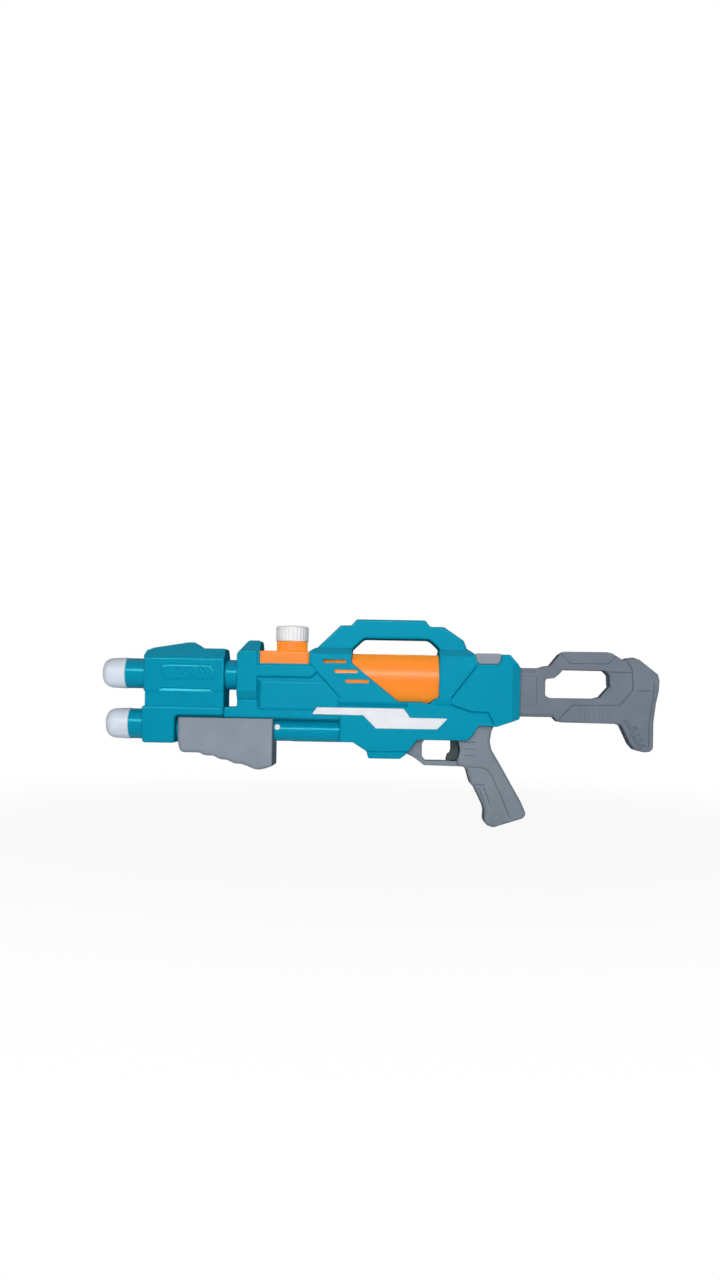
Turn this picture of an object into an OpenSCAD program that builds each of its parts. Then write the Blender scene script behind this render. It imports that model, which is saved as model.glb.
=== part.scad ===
// Pump-action water squirter: an air-pressure water blaster built from moulded
// halves, a water tank with a screw cap, a sliding pump, a trigger valve and a
// telescoping shoulder stock. X runs from muzzle to butt, Y across, Z up.

/* [Overall] */
// height of the pump axis above the foot of the pistol grip
grip_drop = 120; // [100:1:144]
// height of the tank and upper barrel axis above the pump axis
axis_rise = 70; // [66:1:84]
// outer radius of the water tank, which sets the width of the body
tank_r = 31; // [26:0.5:38]
// length of the body from its collar to its rear face
body_len = 360; // [340:1:432]
// length of the nose block
nose_len = 102.5; // [96:0.5:123]
// reach of the stock behind the rear face
stock_reach = 182; // [160:1:218]
// wall thickness of the moulded shells
wall = 2.4; // [1.8:0.1:3]

/* [Barrels and nozzles] */
// length of a nozzle tip
tip_len = 33; // [26:1:40]
// outer radius of a nozzle tip
tip_r = 20; // [18:0.5:24]
// rounding of the front edge of a nozzle tip
tip_round = 9; // [4:0.5:12]
// outer radius of a barrel tube
barrel_r = 19.4; // [17:0.1:19.8]
// wall of a barrel tube
barrel_wall = 2.4; // [1.5:0.1:3]
// length of bare barrel between tip and nose block
barrel_show = 26; // [18:1:32]
// setback of the lower tip behind the upper one
tip_setback = 5; // [0:1:10]
// height of the lower barrel axis above the pump axis
low_barrel_rise = 6; // [4:0.5:8]
// radius of the jet hole
jet_r = 1.5; // [1:0.1:2.5]
// outer radius of the inner water tubes
water_tube_r = 3.4; // [3:0.1:4]
// gap between nose block and body collar
neck_gap = 16.5; // [8:0.5:18]

/* [Widths from the mid-plane] */
// half width of the nose block
nose_w = 27; // [24:0.5:32]
// half width of the carry handle
handle_w = 21; // [17:0.5:25]
// half width of the front body panel
front_w = 30; // [27:0.5:30]
// half width of the hump in front of the filler
hump_w = 24; // [14:0.5:25]
// half width of the rail above the pump
rail_w = 26; // [22:0.5:29]
// half width of the pistol grip
grip_w = 17; // [14:0.5:20]
// half width of the trigger guard
guard_w = 8; // [7:0.5:11]
// half width of the pump grip
pump_grip_w = 30; // [25:0.5:32]
// half width of the stock loop
stock_w = 14; // [13.5:0.5:17]
// half width of the sliding stock bar
bar_w = 12; // [10:0.5:12]

/* [Tank] */
// wall of the tank
tank_wall = 2; // [1.5:0.1:3]
// gap between tank and shell
tank_gap = 0.6; // [0.4:0.1:1]
// radius of the collar under the cap
filler_r = 20; // [18:0.5:22]
// radius of the spout that the cap screws over
spout_r = 17; // [15:0.5:19]
// outer radius of the cap
cap_r = 21; // [19.5:0.5:24]
// height of the cap
cap_h = 21; // [17:0.5:25]
// number of grip flutes round the cap
cap_flutes = 28; // [16:1:36]
// depth of a grip flute
flute_depth = 0.8; // [0.4:0.1:1.2]

/* [Pump] */
// stroke of the pump grip
pump_stroke = 80; // [60:1:84]
// outer radius of the guide tube
guide_r = 14; // [13:0.1:15]
// wall of the guide tube
guide_wall = 2; // [1.5:0.1:2.5]
// outer radius of the pump cylinder
cylinder_r = 11; // [10:0.1:11.3]
// wall of the pump cylinder
cylinder_wall = 2; // [1.5:0.1:2.5]
// radius of the pump rod
rod_r = 4; // [3:0.1:5]
// length of the pump grip
pump_grip_len = 121; // [100:1:126]
// width of the slot under the guide tube
guide_slot = 8; // [6:0.5:10]

/* [Trigger and valve] */
// swing of the trigger in degrees
trigger_swing = 15; // [10:1:18]
// half thickness of the trigger
trigger_w = 5; // [4:0.25:6]
// radius of the trigger pin
trigger_pin_r = 2; // [1.5:0.1:2.5]
// height of the valve axis above the trigger pin
valve_rise = 20; // [16:0.5:21]
// outer radius of the valve body
valve_r = 9; // [8:0.25:10]
// radius of the valve plunger stem
plunger_r = 3; // [2.5:0.1:3.5]

/* [Stock latch] */
// travel of the stock as it slides in
stock_travel = 25; // [15:1:27]
// travel of the latch button
button_travel = 2.8; // [2:0.1:2.8]

/* [Fits] */
// radial clearance of a turning or sliding fit
run_gap = 0.05; // [0.02:0.01:0.1]
// clearance round loose pieces
loose_gap = 0.4; // [0.3:0.05:0.5]
// clearance round pieces that are glued or clamped in place
seat_gap = 0.1; // [0.05:0.05:0.2]
// radius of a screw shank
screw_r = 1.4; // [1.2:0.1:1.6]
// radius of a screw head
screw_head_r = 3; // [2.6:0.1:3.2]

/* [Hidden] */
$fn = 48;
eps = 0.5;
z_pump = grip_drop;
z_bore = z_pump + axis_rise;
z_low = z_pump + low_barrel_rise;
deck = tank_r + 1;
body_w = tank_r + tank_gap + wall;
collar_w = body_w - 1.5;
x_nose = tip_len + barrel_show;
x_nose_end = x_nose + nose_len;
x_body = x_nose_end + neck_gap;
x_rear = x_body + body_len;
overall_len = x_rear + stock_reach;

// tank and filler
x_tank = x_body + 28;
x_tank_end = x_rear - 92;
x_fill = x_body + 67.5;
saddle_x = [x_body + 29, x_body + 91.5];
// the front of the tank is narrower, to fit behind the front panel
tank_neck_r = min(tank_r - 1, front_w - wall - tank_gap);
tank_step = x_body + 122;
tank_round = 4;
saddle_w = tank_neck_r - 0.5;
z_fill = z_bore + deck + 13;
cap_top = 2.5;
seal_t = 1.6;
cap_rest = 0.3;
spout_h = cap_rest + cap_h - cap_top - seal_t - 0.2;
outlet_x = x_rear - 118;
air_x = x_rear - 143;

// pump train, from the carrier in the grip back to the pump head
pump_grip_x = x_nose + 44.5;
carrier_x = pump_grip_x + 46;
carrier_len = 16;
cylinder_x = carrier_x + carrier_len + pump_stroke + 5;
piston_x = cylinder_x + 5;
piston_len = 14;
cylinder_end = piston_x + piston_len + pump_stroke + 8;
head_len = 20;
guide_x = x_nose + 35;
guide_end = x_body + 148;
bore_r = cylinder_r - cylinder_wall;
lug_w = guide_slot / 2 - loose_gap;
plug_x = pump_grip_x + pump_grip_len + 4.5;
plug_r = 3.3;

// trigger and valve
pivot_x = x_rear - 80;
pivot_z = z_pump;
arm_front = 5;
z_valve = pivot_z + valve_rise;
valve_x = x_rear - 133;
valve_len = 36;
stem_end = pivot_x - arm_front - 0.3;
valve_bore = valve_r - 4;
fit_gap = z_bore - tank_r - z_valve - valve_r;
tank_spigot = fit_gap / 2;
valve_spigot = 0.3 * fit_gap;
trigger_back = 7 * cos(trigger_swing) + 30 * sin(trigger_swing) + 3.5;
hose_y = -13;
hose_r = 3.5;
hose_bend = (x_tank - x_body) / 2;
hose_x = x_body + 2 + hose_bend;
z_hose = z_pump + 26;
x_man = x_nose + 19;

// stock bar and latch
bar_z = [z_pump + 24, z_bore + 14];
bar_x = x_rear - 52;
tooth_x = [x_rear - 44, x_rear - 38];
tooth_w = 4;
shelf_z = [bar_z[1] + 0.5, bar_z[1] + 2.4];
latch_z = z_bore + deck;
button_w = body_w - 1.4;

// screws: x, z and the half width of the shell they stand in
screw_seat = 8;
screw_len = 20;
screw_head_h = 2.4;
post_r = 4.6;
body_posts = [
  [x_body + 182, z_pump - 24, body_w],
  [x_rear - 84.5, z_bore - 5, body_w],
  [x_rear - 17, latch_z - 8.6, body_w - 1.2],
  [x_rear - 22, z_pump + 18, body_w - 1.2],
  [x_body - 1.6, z_pump + 24, rail_w],
  [x_body + 137, latch_z + 18, handle_w],
  [x_rear - 92, latch_z + 20, handle_w]
];
nose_step = 1.2;
nose_posts = [
  [x_nose_end - 18, z_pump + 26, nose_w - nose_step],
  [x_nose_end - 18, z_bore + 24.6, nose_w - 3],
  [x_nose + 33, z_pump + 31.5, nose_w - nose_step]
];
grip_posts = [
  [x_rear - 26, z_pump - 107.9, grip_w],
  [x_rear - 44, z_pump - 40, grip_w],
  [x_rear - 42, z_pump - 4, grip_w]
];
stock_posts = [
  [x_rear + 60, z_bore + 26, stock_w],
  [x_rear + 100, z_pump + 28, stock_w],
  [x_rear + 158, z_pump - 2, stock_w],
  [x_rear + 160, z_bore + 12, stock_w]
];
pump_posts = [
  [pump_grip_x + 14, z_pump - 21, pump_grip_w],
  [pump_grip_x + 98, z_pump - 28, pump_grip_w]
];

// outline points: along, up and the bevel of the edge that starts there
function nose_up(x, z, b = 0) = [x_nose + x, z_bore + z, b];
function nose_low(x, z, b = 0) = [x_nose + x, z_pump + z, b];
function nose_back(x, z, b = 0) = [x_nose_end + x, z_bore + z, b];
function front_up(x, z, b = 0) = [x_body + x, z_bore + z, b];
function front_deck(x, z, b = 0) = [x_body + x, z_bore + deck + z, b];
function front_low(x, z, b = 0) = [x_body + x, z_pump + z, b];
function rear_up(x, z, b = 0) = [x_rear + x, z_bore + z, b];
function rear_deck(x, z, b = 0) = [x_rear + x, z_bore + deck + z, b];
function rear_low(x, z, b = 0) = [x_rear + x, z_pump + z, b];
function butt_up(x, z, b = 0) = [overall_len + x, z_bore + z, b];
function butt_low(x, z, b = 0) = [overall_len + x, z_pump + z, b];
function grip_at(x, z, b = 0) = [pump_grip_x + x, z_pump + z, b];

function flat(p) = [p[0], p[1]];
function unit(v) = v / norm(v);
function turn(p, q) = p[0] * q[1] - p[1] * q[0];

// moves each edge of an outline inwards by its own distance
function inset_each(points, dist) = let (n = len(points)) [
  for (i = [0:n - 1])
    let (
      h = (i + n - 1) % n,
      p = flat(points[i]),
      u = unit(p - flat(points[h])),
      v = unit(flat(points[(i + 1) % n]) - p),
      k = turn(u, v),
      q = abs(k) < 0.001 ? p + dist[i] * [-v[1], v[0]] : p + (dist[h] * v - dist[i] * u) / k
    )
    [q[0], q[1], points[i][2]]
];

function inset(points, d) = inset_each(points, [for (p = points) d]);

// a ring of triangular section that bevels the outer edges of a plate
module bevels(points, width) {
  n = len(points);
  b = max([for (p = points) p[2]]);
  outer = inset(points, -eps);
  inner = inset_each(points, [for (p = points) p[2] > 0 ? b + eps : -eps / 2]);
  corners = [
    for (i = [0:n - 1])
      each [
        [outer[i][0], b + eps - width, outer[i][1]],
        [inner[i][0], -width - eps, inner[i][1]],
        [outer[i][0], -width - eps, outer[i][1]]
      ]
  ];
  faces = [
    for (i = [0:n - 1])
      for (k = [0:2])
        let (
          j = (i + 1) % n,
          a = 3 * i + k,
          c = 3 * i + (k + 1) % 3,
          d = 3 * j + k,
          e = 3 * j + (k + 1) % 3
        )
        each [[a, d, c], [c, d, e]]
  ];
  if (b > 0) polyhedron(corners, faces, convexity = 10);
}

// a wide slope along one edge of a plate, size deep and run wide
module slope(p, q, size, run, width) {
  span = q - p;
  over = eps * run / size;
  translate([p[0], 0, p[1]])
    rotate([0, -atan2(span[1], span[0]), 0])
      translate([-eps, 0, 0])
        rotate([90, 0, 90])
          linear_extrude(norm(span) + 2 * eps)
            polygon([[size - width + eps, -over], [-width - eps, run + over], [-width - eps, -over]]);
}

// a moulded plate on the left of the mid-plane with its outer edges bevelled;
// slopes lists edges by number with the depth and run of their wide slope
module plate(points, width, from = 0, slopes = []) {
  difference() {
    translate([0, -from, 0])
      rotate([90, 0, 0])
        linear_extrude(width - from)
          polygon([for (p = points) flat(p)]);
    bevels(points, width);
    for (e = slopes)
      slope(flat(points[e[0]]), flat(points[(e[0] + 1) % len(points)]), e[1], e[2], width);
  }
}

// the hollow behind a plate
module hollow(points, width, slopes = []) {
  plate([for (p = inset(points, wall)) [p[0], p[1], 0]], width - wall, -1, slopes);
}

// a shallow groove drawn along a line on a plate of that width
groove_w = 1.2;
groove_depth = 0.8;
module groove(line, width) {
  for (i = [0:len(line) - 2]) {
    span = flat(line[i + 1]) - flat(line[i]);
    translate([line[i][0], 0, line[i][1]])
      rotate([0, -atan2(span[1], span[0]), 0])
        block([0, norm(span)], [-width - eps, groove_depth - width], [-groove_w / 2, groove_w / 2]);
  }
}

module both_sides() {
  children();
  mirror([0, 1, 0]) children();
}

module along_x(x, z, r, len, y = 0) {
  translate([x, y, z]) rotate([0, 90, 0]) cylinder(h = len, r = r);
}

module across(x, z, r, from, to) {
  translate([x, from, z]) rotate([-90, 0, 0]) cylinder(h = to - from, r = r);
}

module block(x, y, z) {
  translate([x[0], y[0], z[0]]) cube([x[1] - x[0], y[1] - y[0], z[1] - z[0]]);
}

// screw posts of the left half
module posts(list) {
  for (p = list) across(p[0], p[1], post_r, eps - p[2], 0);
}

module pilots(list) {
  for (p = list) across(p[0], p[1], screw_r + run_gap, screw_seat - screw_len - eps, 1);
}

// the same posts seen from the right half, before it is mirrored
module wells(list) {
  for (p = list) {
    across(p[0], p[1], screw_head_r + 0.3, -p[2] - 5, -screw_seat);
    across(p[0], p[1], screw_r + 0.3, -screw_seat - 1, 1);
  }
}

module screws(list) {
  color("silver")
    for (p = list) {
      across(p[0], p[1], screw_r, screw_seat - screw_len, screw_seat + eps);
      across(p[0], p[1], screw_head_r, screw_seat, screw_seat + screw_head_h);
    }
}

// a round tube carried along a list of points
module swept_tube(path, r, sides) {
  n = len(path);
  function dir(i) = unit(path[min(i + 1, n - 1)] - path[max(i - 1, 0)]);
  ring = [
    for (i = [0:n - 1])
      let (t = dir(i), u = unit(cross([0, 1, 0], t)), v = cross(t, u))
        for (k = [0:sides - 1]) path[i] + r * (cos(360 * k / sides) * u + sin(360 * k / sides) * v)
  ];
  side_faces = [
    for (i = [0:n - 2])
      for (k = [0:sides - 1])
        let (a = i * sides + k, b = i * sides + (k + 1) % sides)
          each [[a, a + sides, b], [b, a + sides, b + sides]]
  ];
  first = [for (k = [1:sides - 2]) [0, k, k + 1]];
  last = [for (k = [1:sides - 2]) [(n - 1) * sides, (n - 1) * sides + k + 1, (n - 1) * sides + k]];
  polyhedron(ring, concat(side_faces, first, last), convexity = 6);
}

// a helical spring standing along Z from the origin
module coil(length, r, wire, turns) {
  steps = turns * 8;
  pitch = (length - 2 * wire) / turns;
  echo(str("spring gap ", pitch - 2 * wire));
  path = [
    for (i = [0:steps])
      [r * cos(45 * i), r * sin(45 * i), wire + pitch * i / 8]
  ];
  n = len(path);
  ring = [
    for (i = [0:n - 1])
      let (out = [cos(45 * i), sin(45 * i), 0])
        for (k = [0:5]) path[i] + wire * (cos(60 * k) * out + sin(60 * k) * [0, 0, 1])
  ];
  side_faces = [
    for (i = [0:n - 2])
      for (k = [0:5])
        let (a = i * 6 + k, b = i * 6 + (k + 1) % 6)
          each [[a, b, a + 6], [b, b + 6, a + 6]]
  ];
  first = [for (k = [1:4]) [0, k + 1, k]];
  last = [for (k = [1:4]) [(n - 1) * 6, (n - 1) * 6 + k, (n - 1) * 6 + k + 1]];
  polyhedron(ring, concat(side_faces, first, last), convexity = 8);
}

// outline of the body side, with the window over the tank left open at the top
side_slopes = [[11, 9, 9], [15, 6, 6], [22, 6, 6], [25, 4, 8]];
function side_outline() = [
  front_low(132, -12.5, 2),
  front_low(149, -12.5, 2),
  front_low(166.5, -23.5, 2),
  front_low(169, -32.5, 2),
  rear_low(-151, -32.5, 2),
  rear_low(-143, -26.5, 2),
  rear_low(-129.5, -8, 2),
  rear_low(-66, -8, 2),
  rear_low(-60, -2, 2),
  rear_low(-51, 11.5, 2),
  rear_low(-29, 10, 2),
  rear_low(0, 20.5),
  rear_deck(0, -15.5, 2),
  rear_deck(-10.5, 0, 2),
  rear_deck(-58, 0, 2),
  rear_deck(-64, 5),
  rear_deck(-102.8, 5),
  rear_up(-102.8, 5.5 - tank_r),
  rear_up(-114, 4.3 - tank_r),
  rear_up(-121.5, -tank_r - 1),
  front_up(206, 0.5 - tank_r),
  front_deck(146, -13.5),
  front_deck(146, 5),
  front_deck(99, 5, 2),
  front_deck(92, 0),
  front_deck(92, -17),
  front_up(129, 6 - tank_r, 2),
  front_low(129, 30),
  front_low(132, 28)
];

// outline of the carry handle; its feet reach down into the body by drop
function handle_outline(drop) = [
  front_deck(94, -17 - drop),
  front_deck(145.5, -17 - drop),
  front_deck(145.5, 3.5, 2),
  front_deck(161, 18.3, 2),
  rear_deck(-115, 18.3, 2),
  rear_deck(-102.2, 6.5, 2),
  rear_deck(-102.2, -17 - drop),
  rear_deck(-58, -17 - drop),
  rear_deck(-58, 0, 2),
  rear_deck(-67.5, 7.5, 2),
  rear_deck(-71.5, 17.5, 2),
  rear_deck(-97, 34.5, 2),
  rear_deck(-114.5, 34.5, 2),
  rear_deck(-121, 42.5, 2),
  front_deck(151.5, 42.5, 2),
  front_deck(144.5, 34.7, 2),
  front_deck(131, 34.3, 2),
  front_deck(99.5, 3.5),
  front_deck(94, 3.5)
];

function front_outline() = [
  front_low(26, 30),
  front_low(140, 30),
  front_deck(140, -17),
  front_deck(122, 0),
  front_deck(3, 0, 2),
  front_deck(0, -4, 2),
  front_up(0, -15),
  front_up(26, -15)
];

function rail_outline() = [
  [x_nose_end, z_pump + 16, 2],
  front_low(144, 16),
  front_low(144, 40),
  front_low(1, 40),
  front_low(1, 30, 2),
  [x_nose_end, z_pump + 30, 0]
];

collar_slopes = [[0, 7, 13]];
function collar_outline() = [
  front_low(0, 33.6),
  front_low(26.5, 33.6),
  front_deck(26.5, 0, 2),
  front_deck(4, 0, 2),
  front_deck(0, -5, 2)
];

function rib_outline() = [
  front_up(24, -0.5, 1.5),
  front_up(94, -0.5, 1.5),
  front_up(101, 6, 1.5),
  front_up(101, 14, 1.5),
  front_up(24, 14)
];

function hump_outline() = [
  front_deck(3, -6),
  front_deck(28.4, -6, 3),
  front_deck(28, 13.5, 3),
  front_deck(10.5, 13.5, 3),
  front_deck(3.2, 0.3)
];

function trim_outline() = [
  front_low(97, 22.4, 0.8),
  front_low(161.5, 22.2, 0.8),
  front_low(178, 5.8, 0.8),
  rear_low(-104.5, 5.8, 0.8),
  rear_low(-91, 19.8, 0.8),
  rear_low(-139, 20, 0.8),
  rear_low(-147, 31.4, 0.8),
  front_low(103, 31.4, 0.8)
];

function pad_outline() = [
  front_low(101, 24),
  front_low(136, 24),
  front_low(136, 30),
  front_low(105, 30)
];

function button_outline(grow, drop) = [
  rear_deck(-52.4 - grow, -12.5 - grow - drop, 1),
  rear_deck(-28.2 + grow, -12.5 - grow - drop, 1),
  rear_deck(-24.5 + grow, -7.6 - drop, 1),
  rear_deck(-23.4 + grow + drop / 8, 1.3 + grow, 1),
  rear_deck(-57.7 - grow - drop / 4, 1.3 + grow, 1),
  rear_deck(-55 - grow, -9.4 - drop, 1)
];

module body_cutouts() {
  // tank, barrel, pump tube and saddle
  along_x(x_tank - 1.5, z_bore, tank_neck_r + loose_gap, tank_step - x_tank + 2);
  along_x(tank_step - loose_gap, z_bore, tank_r + loose_gap, x_tank_end - tank_step + 1.5 + loose_gap);
  along_x(x_body - 1, z_bore, barrel_r + seat_gap, 27);
  along_x(x_body + 131, z_pump, guide_r + seat_gap, guide_end - x_body - 131 + seat_gap);
  along_x(x_body + 131, z_pump, cylinder_r + 0.5, cylinder_end + head_len - x_body - 130);
  block([saddle_x[0] - 0.4, saddle_x[1] + 0.4], [-body_w - 5, 1], [z_bore + deck - 15.8, z_bore + deck + 30]);
  // three slits over the tank
  for (i = [0:2])
    translate([x_body + 124.3 + 14.5 * i, 0, z_bore + 20 - 12.5 * i]) {
      block([-13.3, 13.3], [-body_w - 1, 5 - body_w], [-1.7, 1.7]);
      for (s = [-13.3, 13.3]) across(s, 0, 1.7, -body_w - 1, 5 - body_w);
    }
  // shallow pocket for the trim and the groove above it
  plate(inset(trim_outline(), -seat_gap - 0.05), body_w + 5, body_w - 1.5);
  plate([front_low(130.5, 33), rear_low(-136, 33), front_low(206, 38.5), front_low(130.5, 38.5)],
    body_w + 5, body_w - 1.6);
  // the rear panel stands back a little, with a deeper notch at its front
  plate([
      rear_low(-86, 36), rear_low(-63, 28.5), rear_low(-40, 27.5), rear_low(-33, 14), rear_low(-29, 6),
      rear_low(2, 16), rear_deck(2, -12), rear_deck(-10, 4), rear_deck(-54, 4), rear_deck(-54, -13),
      rear_up(-86, -23.5)
    ], body_w + 5, body_w - 1.2);
  plate([rear_low(-108, 36), rear_low(-85, 36), rear_up(-85, -23.5), rear_up(-108, -25)],
    body_w + 5, body_w - 2);
  // moulded line along the chin
  groove([front_low(163, -23.4), rear_low(-143, -23.4)], body_w);
  // latch button, stock bar, trigger slot and the tongue of the pistol grip
  plate(button_outline(loose_gap + 0.2, button_travel), body_w + 5, -1);
  block([bar_x - 30, x_rear + 1], [-bar_w - loose_gap, 1], [bar_z[0] - loose_gap, bar_z[1] + loose_gap]);
  block([pivot_x - 13, pivot_x + 14], [-trigger_w - 0.6, 1], [z_pump - 12, z_pump - 5]);
  block([x_rear - 53.4, x_rear - 34.6], [-8.4, 1], [z_pump + 5, z_pump + 20.4]);
  // ways through for the two tank fittings
  translate([outlet_x, 0, z_valve + valve_r]) cylinder(h = fit_gap + 10, r = 6.2);
  translate([air_x, 0, z_bore - tank_r - fit_gap]) cylinder(h = fit_gap + 2, r = hose_r + 0.8);
}

module body_half() {
  difference() {
    union() {
      difference() {
        union() {
          plate(side_outline(), body_w, 0, side_slopes);
          plate(handle_outline(0), handle_w);
          plate(front_outline(), front_w);
          plate(rail_outline(), rail_w);
          plate(collar_outline(), collar_w, 0, collar_slopes);
          plate(rib_outline(), collar_w);
          plate(pad_outline(), body_w - 1.6);
          plate(hump_outline(), hump_w);
        }
        hollow(side_outline(), body_w, side_slopes);
        hollow(handle_outline(2 * wall), handle_w);
        hollow(front_outline(), front_w);
        hollow(rail_outline(), rail_w);
        hollow(collar_outline(), collar_w, collar_slopes);
        hollow(rib_outline(), collar_w);
        hollow(hump_outline(), hump_w);
      }
      posts(body_posts);
      // cradles for the tank, the valve and the stock bar
      block([x_body + 112, x_body + 114.4], [1.5 - front_w, 0], [z_hose + 6, z_bore - 6]);
      block([x_body + 112, x_body + 114.4], [1 - body_w, 0], [z_bore + 23, z_bore + deck + 1]);
      block([x_rear - 95, x_rear - 92.6], [1 - body_w, 0], [z_bore - 20, z_bore + deck - 1]);
      for (x = [valve_x + 12, valve_x + 27])
        block([x, x + 2.4], [1 - body_w, 0], [z_pump - 7, z_valve + 5]);
      for (z = [bar_z[0] + 14, bar_z[1] - 14])
        block([bar_x + 12, x_rear - 9], [2 - body_w, 0], [z, z + 2.4]);
      across(pivot_x, pivot_z, 5, 1 - body_w, -trigger_w - 0.6);
    }
    body_cutouts();
    along_x(valve_x - 1, z_valve, valve_r + seat_gap, valve_len + 2);
    across(pivot_x, pivot_z, trigger_pin_r + run_gap, -15, 1);
  }
  // shelf under the latch button
  difference() {
    block([x_rear - 59, x_rear - 23], [1.5 - body_w, 0], shelf_z);
    block([tooth_x[0] - 0.5, tooth_x[1] + 0.5], [-tooth_w - 0.5, 1], [shelf_z[0] - 1, shelf_z[1] + 1]);
  }
}

module body_shell_left() {
  color("darkcyan")
    difference() {
      body_half();
      pilots(body_posts);
    }
}

module body_shell_right() {
  color("darkcyan")
    mirror([0, 1, 0])
      difference() {
        body_half();
        wells(body_posts);
      }
}

function nose_outline() = [
  nose_low(-0.5, -17.5, 2),
  nose_low(40.5, -17.5, 2),
  nose_low(40.5, 18, 2),
  [x_nose_end, z_pump + 18, 0],
  nose_back(0, 31),
  nose_up(3, 31, 2),
  nose_up(0, 23, 2),
  nose_low(1, 30, 2),
  nose_low(-2.5, 26, 2),
  nose_low(-2.5, -8, 2)
];

nose_slopes = [[3, 5, 5], [4, 9, 9]];
module nose_half() {
  difference() {
    union() {
      difference() {
        plate(nose_outline(), nose_w, 0, nose_slopes);
        hollow(nose_outline(), nose_w, nose_slopes);
        // the side stands back between the upper block and the lower one
        plate([
            nose_low(-5, 29.5), [x_nose_end + 2, z_pump + 29.5, 0], nose_back(2, -19.5), nose_up(-5, -19.5)
          ], nose_w + 5, nose_w - nose_step);
      }
      // sighting fin on top
      plate([nose_up(3, 29), nose_up(72, 29), nose_up(59, 42, 2), nose_up(54, 42, 2)], 10);
      // raised side panels
      plate([
          nose_up(27.8, -7, 1), nose_up(91.4, -6, 1), nose_up(91.2, 4.2, 1),
          nose_up(84.7, 13.3, 1), nose_up(23.6, 12.5, 1), nose_up(18, 9.2, 1)
        ], nose_w + 1, nose_w - 1);
      plate([
          nose_low(42, 31.5, 1), nose_low(91, 31.5, 1), nose_low(91, 43.5, 1), nose_low(42, 43.5, 1)
        ], nose_w - nose_step + 1, nose_w - nose_step - 1);
      posts(nose_posts);
    }
    // three slanting grooves in the upper panel
    for (i = [0:2])
      translate([x_nose + 46 + 14.6 * i, 0, z_bore + 5.6])
        rotate([0, 56, 0]) {
          block([-5, 5], [-nose_w - 2, 0.8 - nose_w], [-1.3, 1.3]);
          for (s = [-5, 5]) across(s, 0, 1.3, -nose_w - 2, 0.8 - nose_w);
        }
    along_x(x_nose - 5, z_bore, barrel_r + seat_gap, nose_len + 10);
    along_x(x_nose - 8, z_low, barrel_r + seat_gap, 37.3);
    along_x(guide_x - seat_gap, z_pump, guide_r + seat_gap, 12);
    translate([x_man, 0, z_low]) cylinder(h = z_bore - z_low, r = 6);
  }
}

module nose_shell_left() {
  color("darkcyan")
    difference() {
      nose_half();
      pilots(nose_posts);
    }
}

module nose_shell_right() {
  color("darkcyan")
    mirror([0, 1, 0])
      difference() {
        nose_half();
        wells(nose_posts);
      }
}

module upper_barrel() {
  color("darkcyan")
    difference() {
      along_x(tip_len, z_bore, barrel_r, x_body + 6 - tip_len);
      along_x(tip_len - 1, z_bore, barrel_r - barrel_wall, x_body + 8 - tip_len);
      translate([x_man, 0, z_bore - barrel_r - 5]) cylinder(h = barrel_r, r = 6);
    }
}

module lower_barrel() {
  color("darkcyan")
    difference() {
      along_x(tip_setback + tip_len, z_low, barrel_r, x_nose + 29 - tip_setback - tip_len);
      along_x(tip_setback + tip_len - 1, z_low, barrel_r - barrel_wall, x_nose);
      translate([x_man, 0, z_low]) cylinder(h = barrel_r + 5, r = 6);
    }
}

// one nozzle tip, turned about the barrel axis, with its spigot behind
module nozzle_tip(x, z) {
  spigot = barrel_r - barrel_wall - seat_gap;
  way = water_tube_r + run_gap;
  front = [for (a = [0:15:90]) [tip_r - tip_round + tip_round * sin(a), tip_round * (1 - cos(a))]];
  color("aliceblue")
    translate([x, 0, z])
      rotate([0, 90, 0])
        rotate_extrude()
          polygon(concat(
            [[jet_r, 2], [6.5, 2], [8, 0]],
            front,
            [
              [tip_r, tip_len], [spigot, tip_len], [spigot, tip_len + 10],
              [spigot - 2, tip_len + 10], [spigot - 2, 12], [7, 12], [7, tip_len + 4],
              [way, tip_len + 4], [way, 7], [jet_r, 7]
            ]
          ));
}

module upper_nozzle_tip() {
  nozzle_tip(0, z_bore);
}

module lower_nozzle_tip() {
  nozzle_tip(tip_setback, z_low);
}

module jet_tube(x, z) {
  color("lightgrey")
    difference() {
      along_x(x, z, water_tube_r, x_man - 2 - x);
      along_x(x - 1, z, 2.2, x_man - x);
    }
}

module upper_jet_tube() {
  jet_tube(8, z_bore);
}

module lower_jet_tube() {
  jet_tube(tip_setback + 8, z_low);
}

module jet_manifold() {
  color("lightgrey")
    difference() {
      union() {
        along_x(x_man - 8, z_bore, 5.6, 22);
        along_x(x_man - 8, z_low, 5.6, 14);
        translate([x_man, 0, z_low]) cylinder(h = z_bore - z_low, r = 5);
      }
      along_x(x_man - 9, z_bore, 2.2, 24);
      along_x(x_man - 9, z_low, 2.2, 10);
      along_x(x_man - 9, z_bore, water_tube_r + run_gap, 7.1);
      along_x(x_man - 9, z_low, water_tube_r + run_gap, 7.1);
      translate([x_man, 0, z_low]) cylinder(h = z_bore - z_low, r = 2);
    }
}

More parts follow.
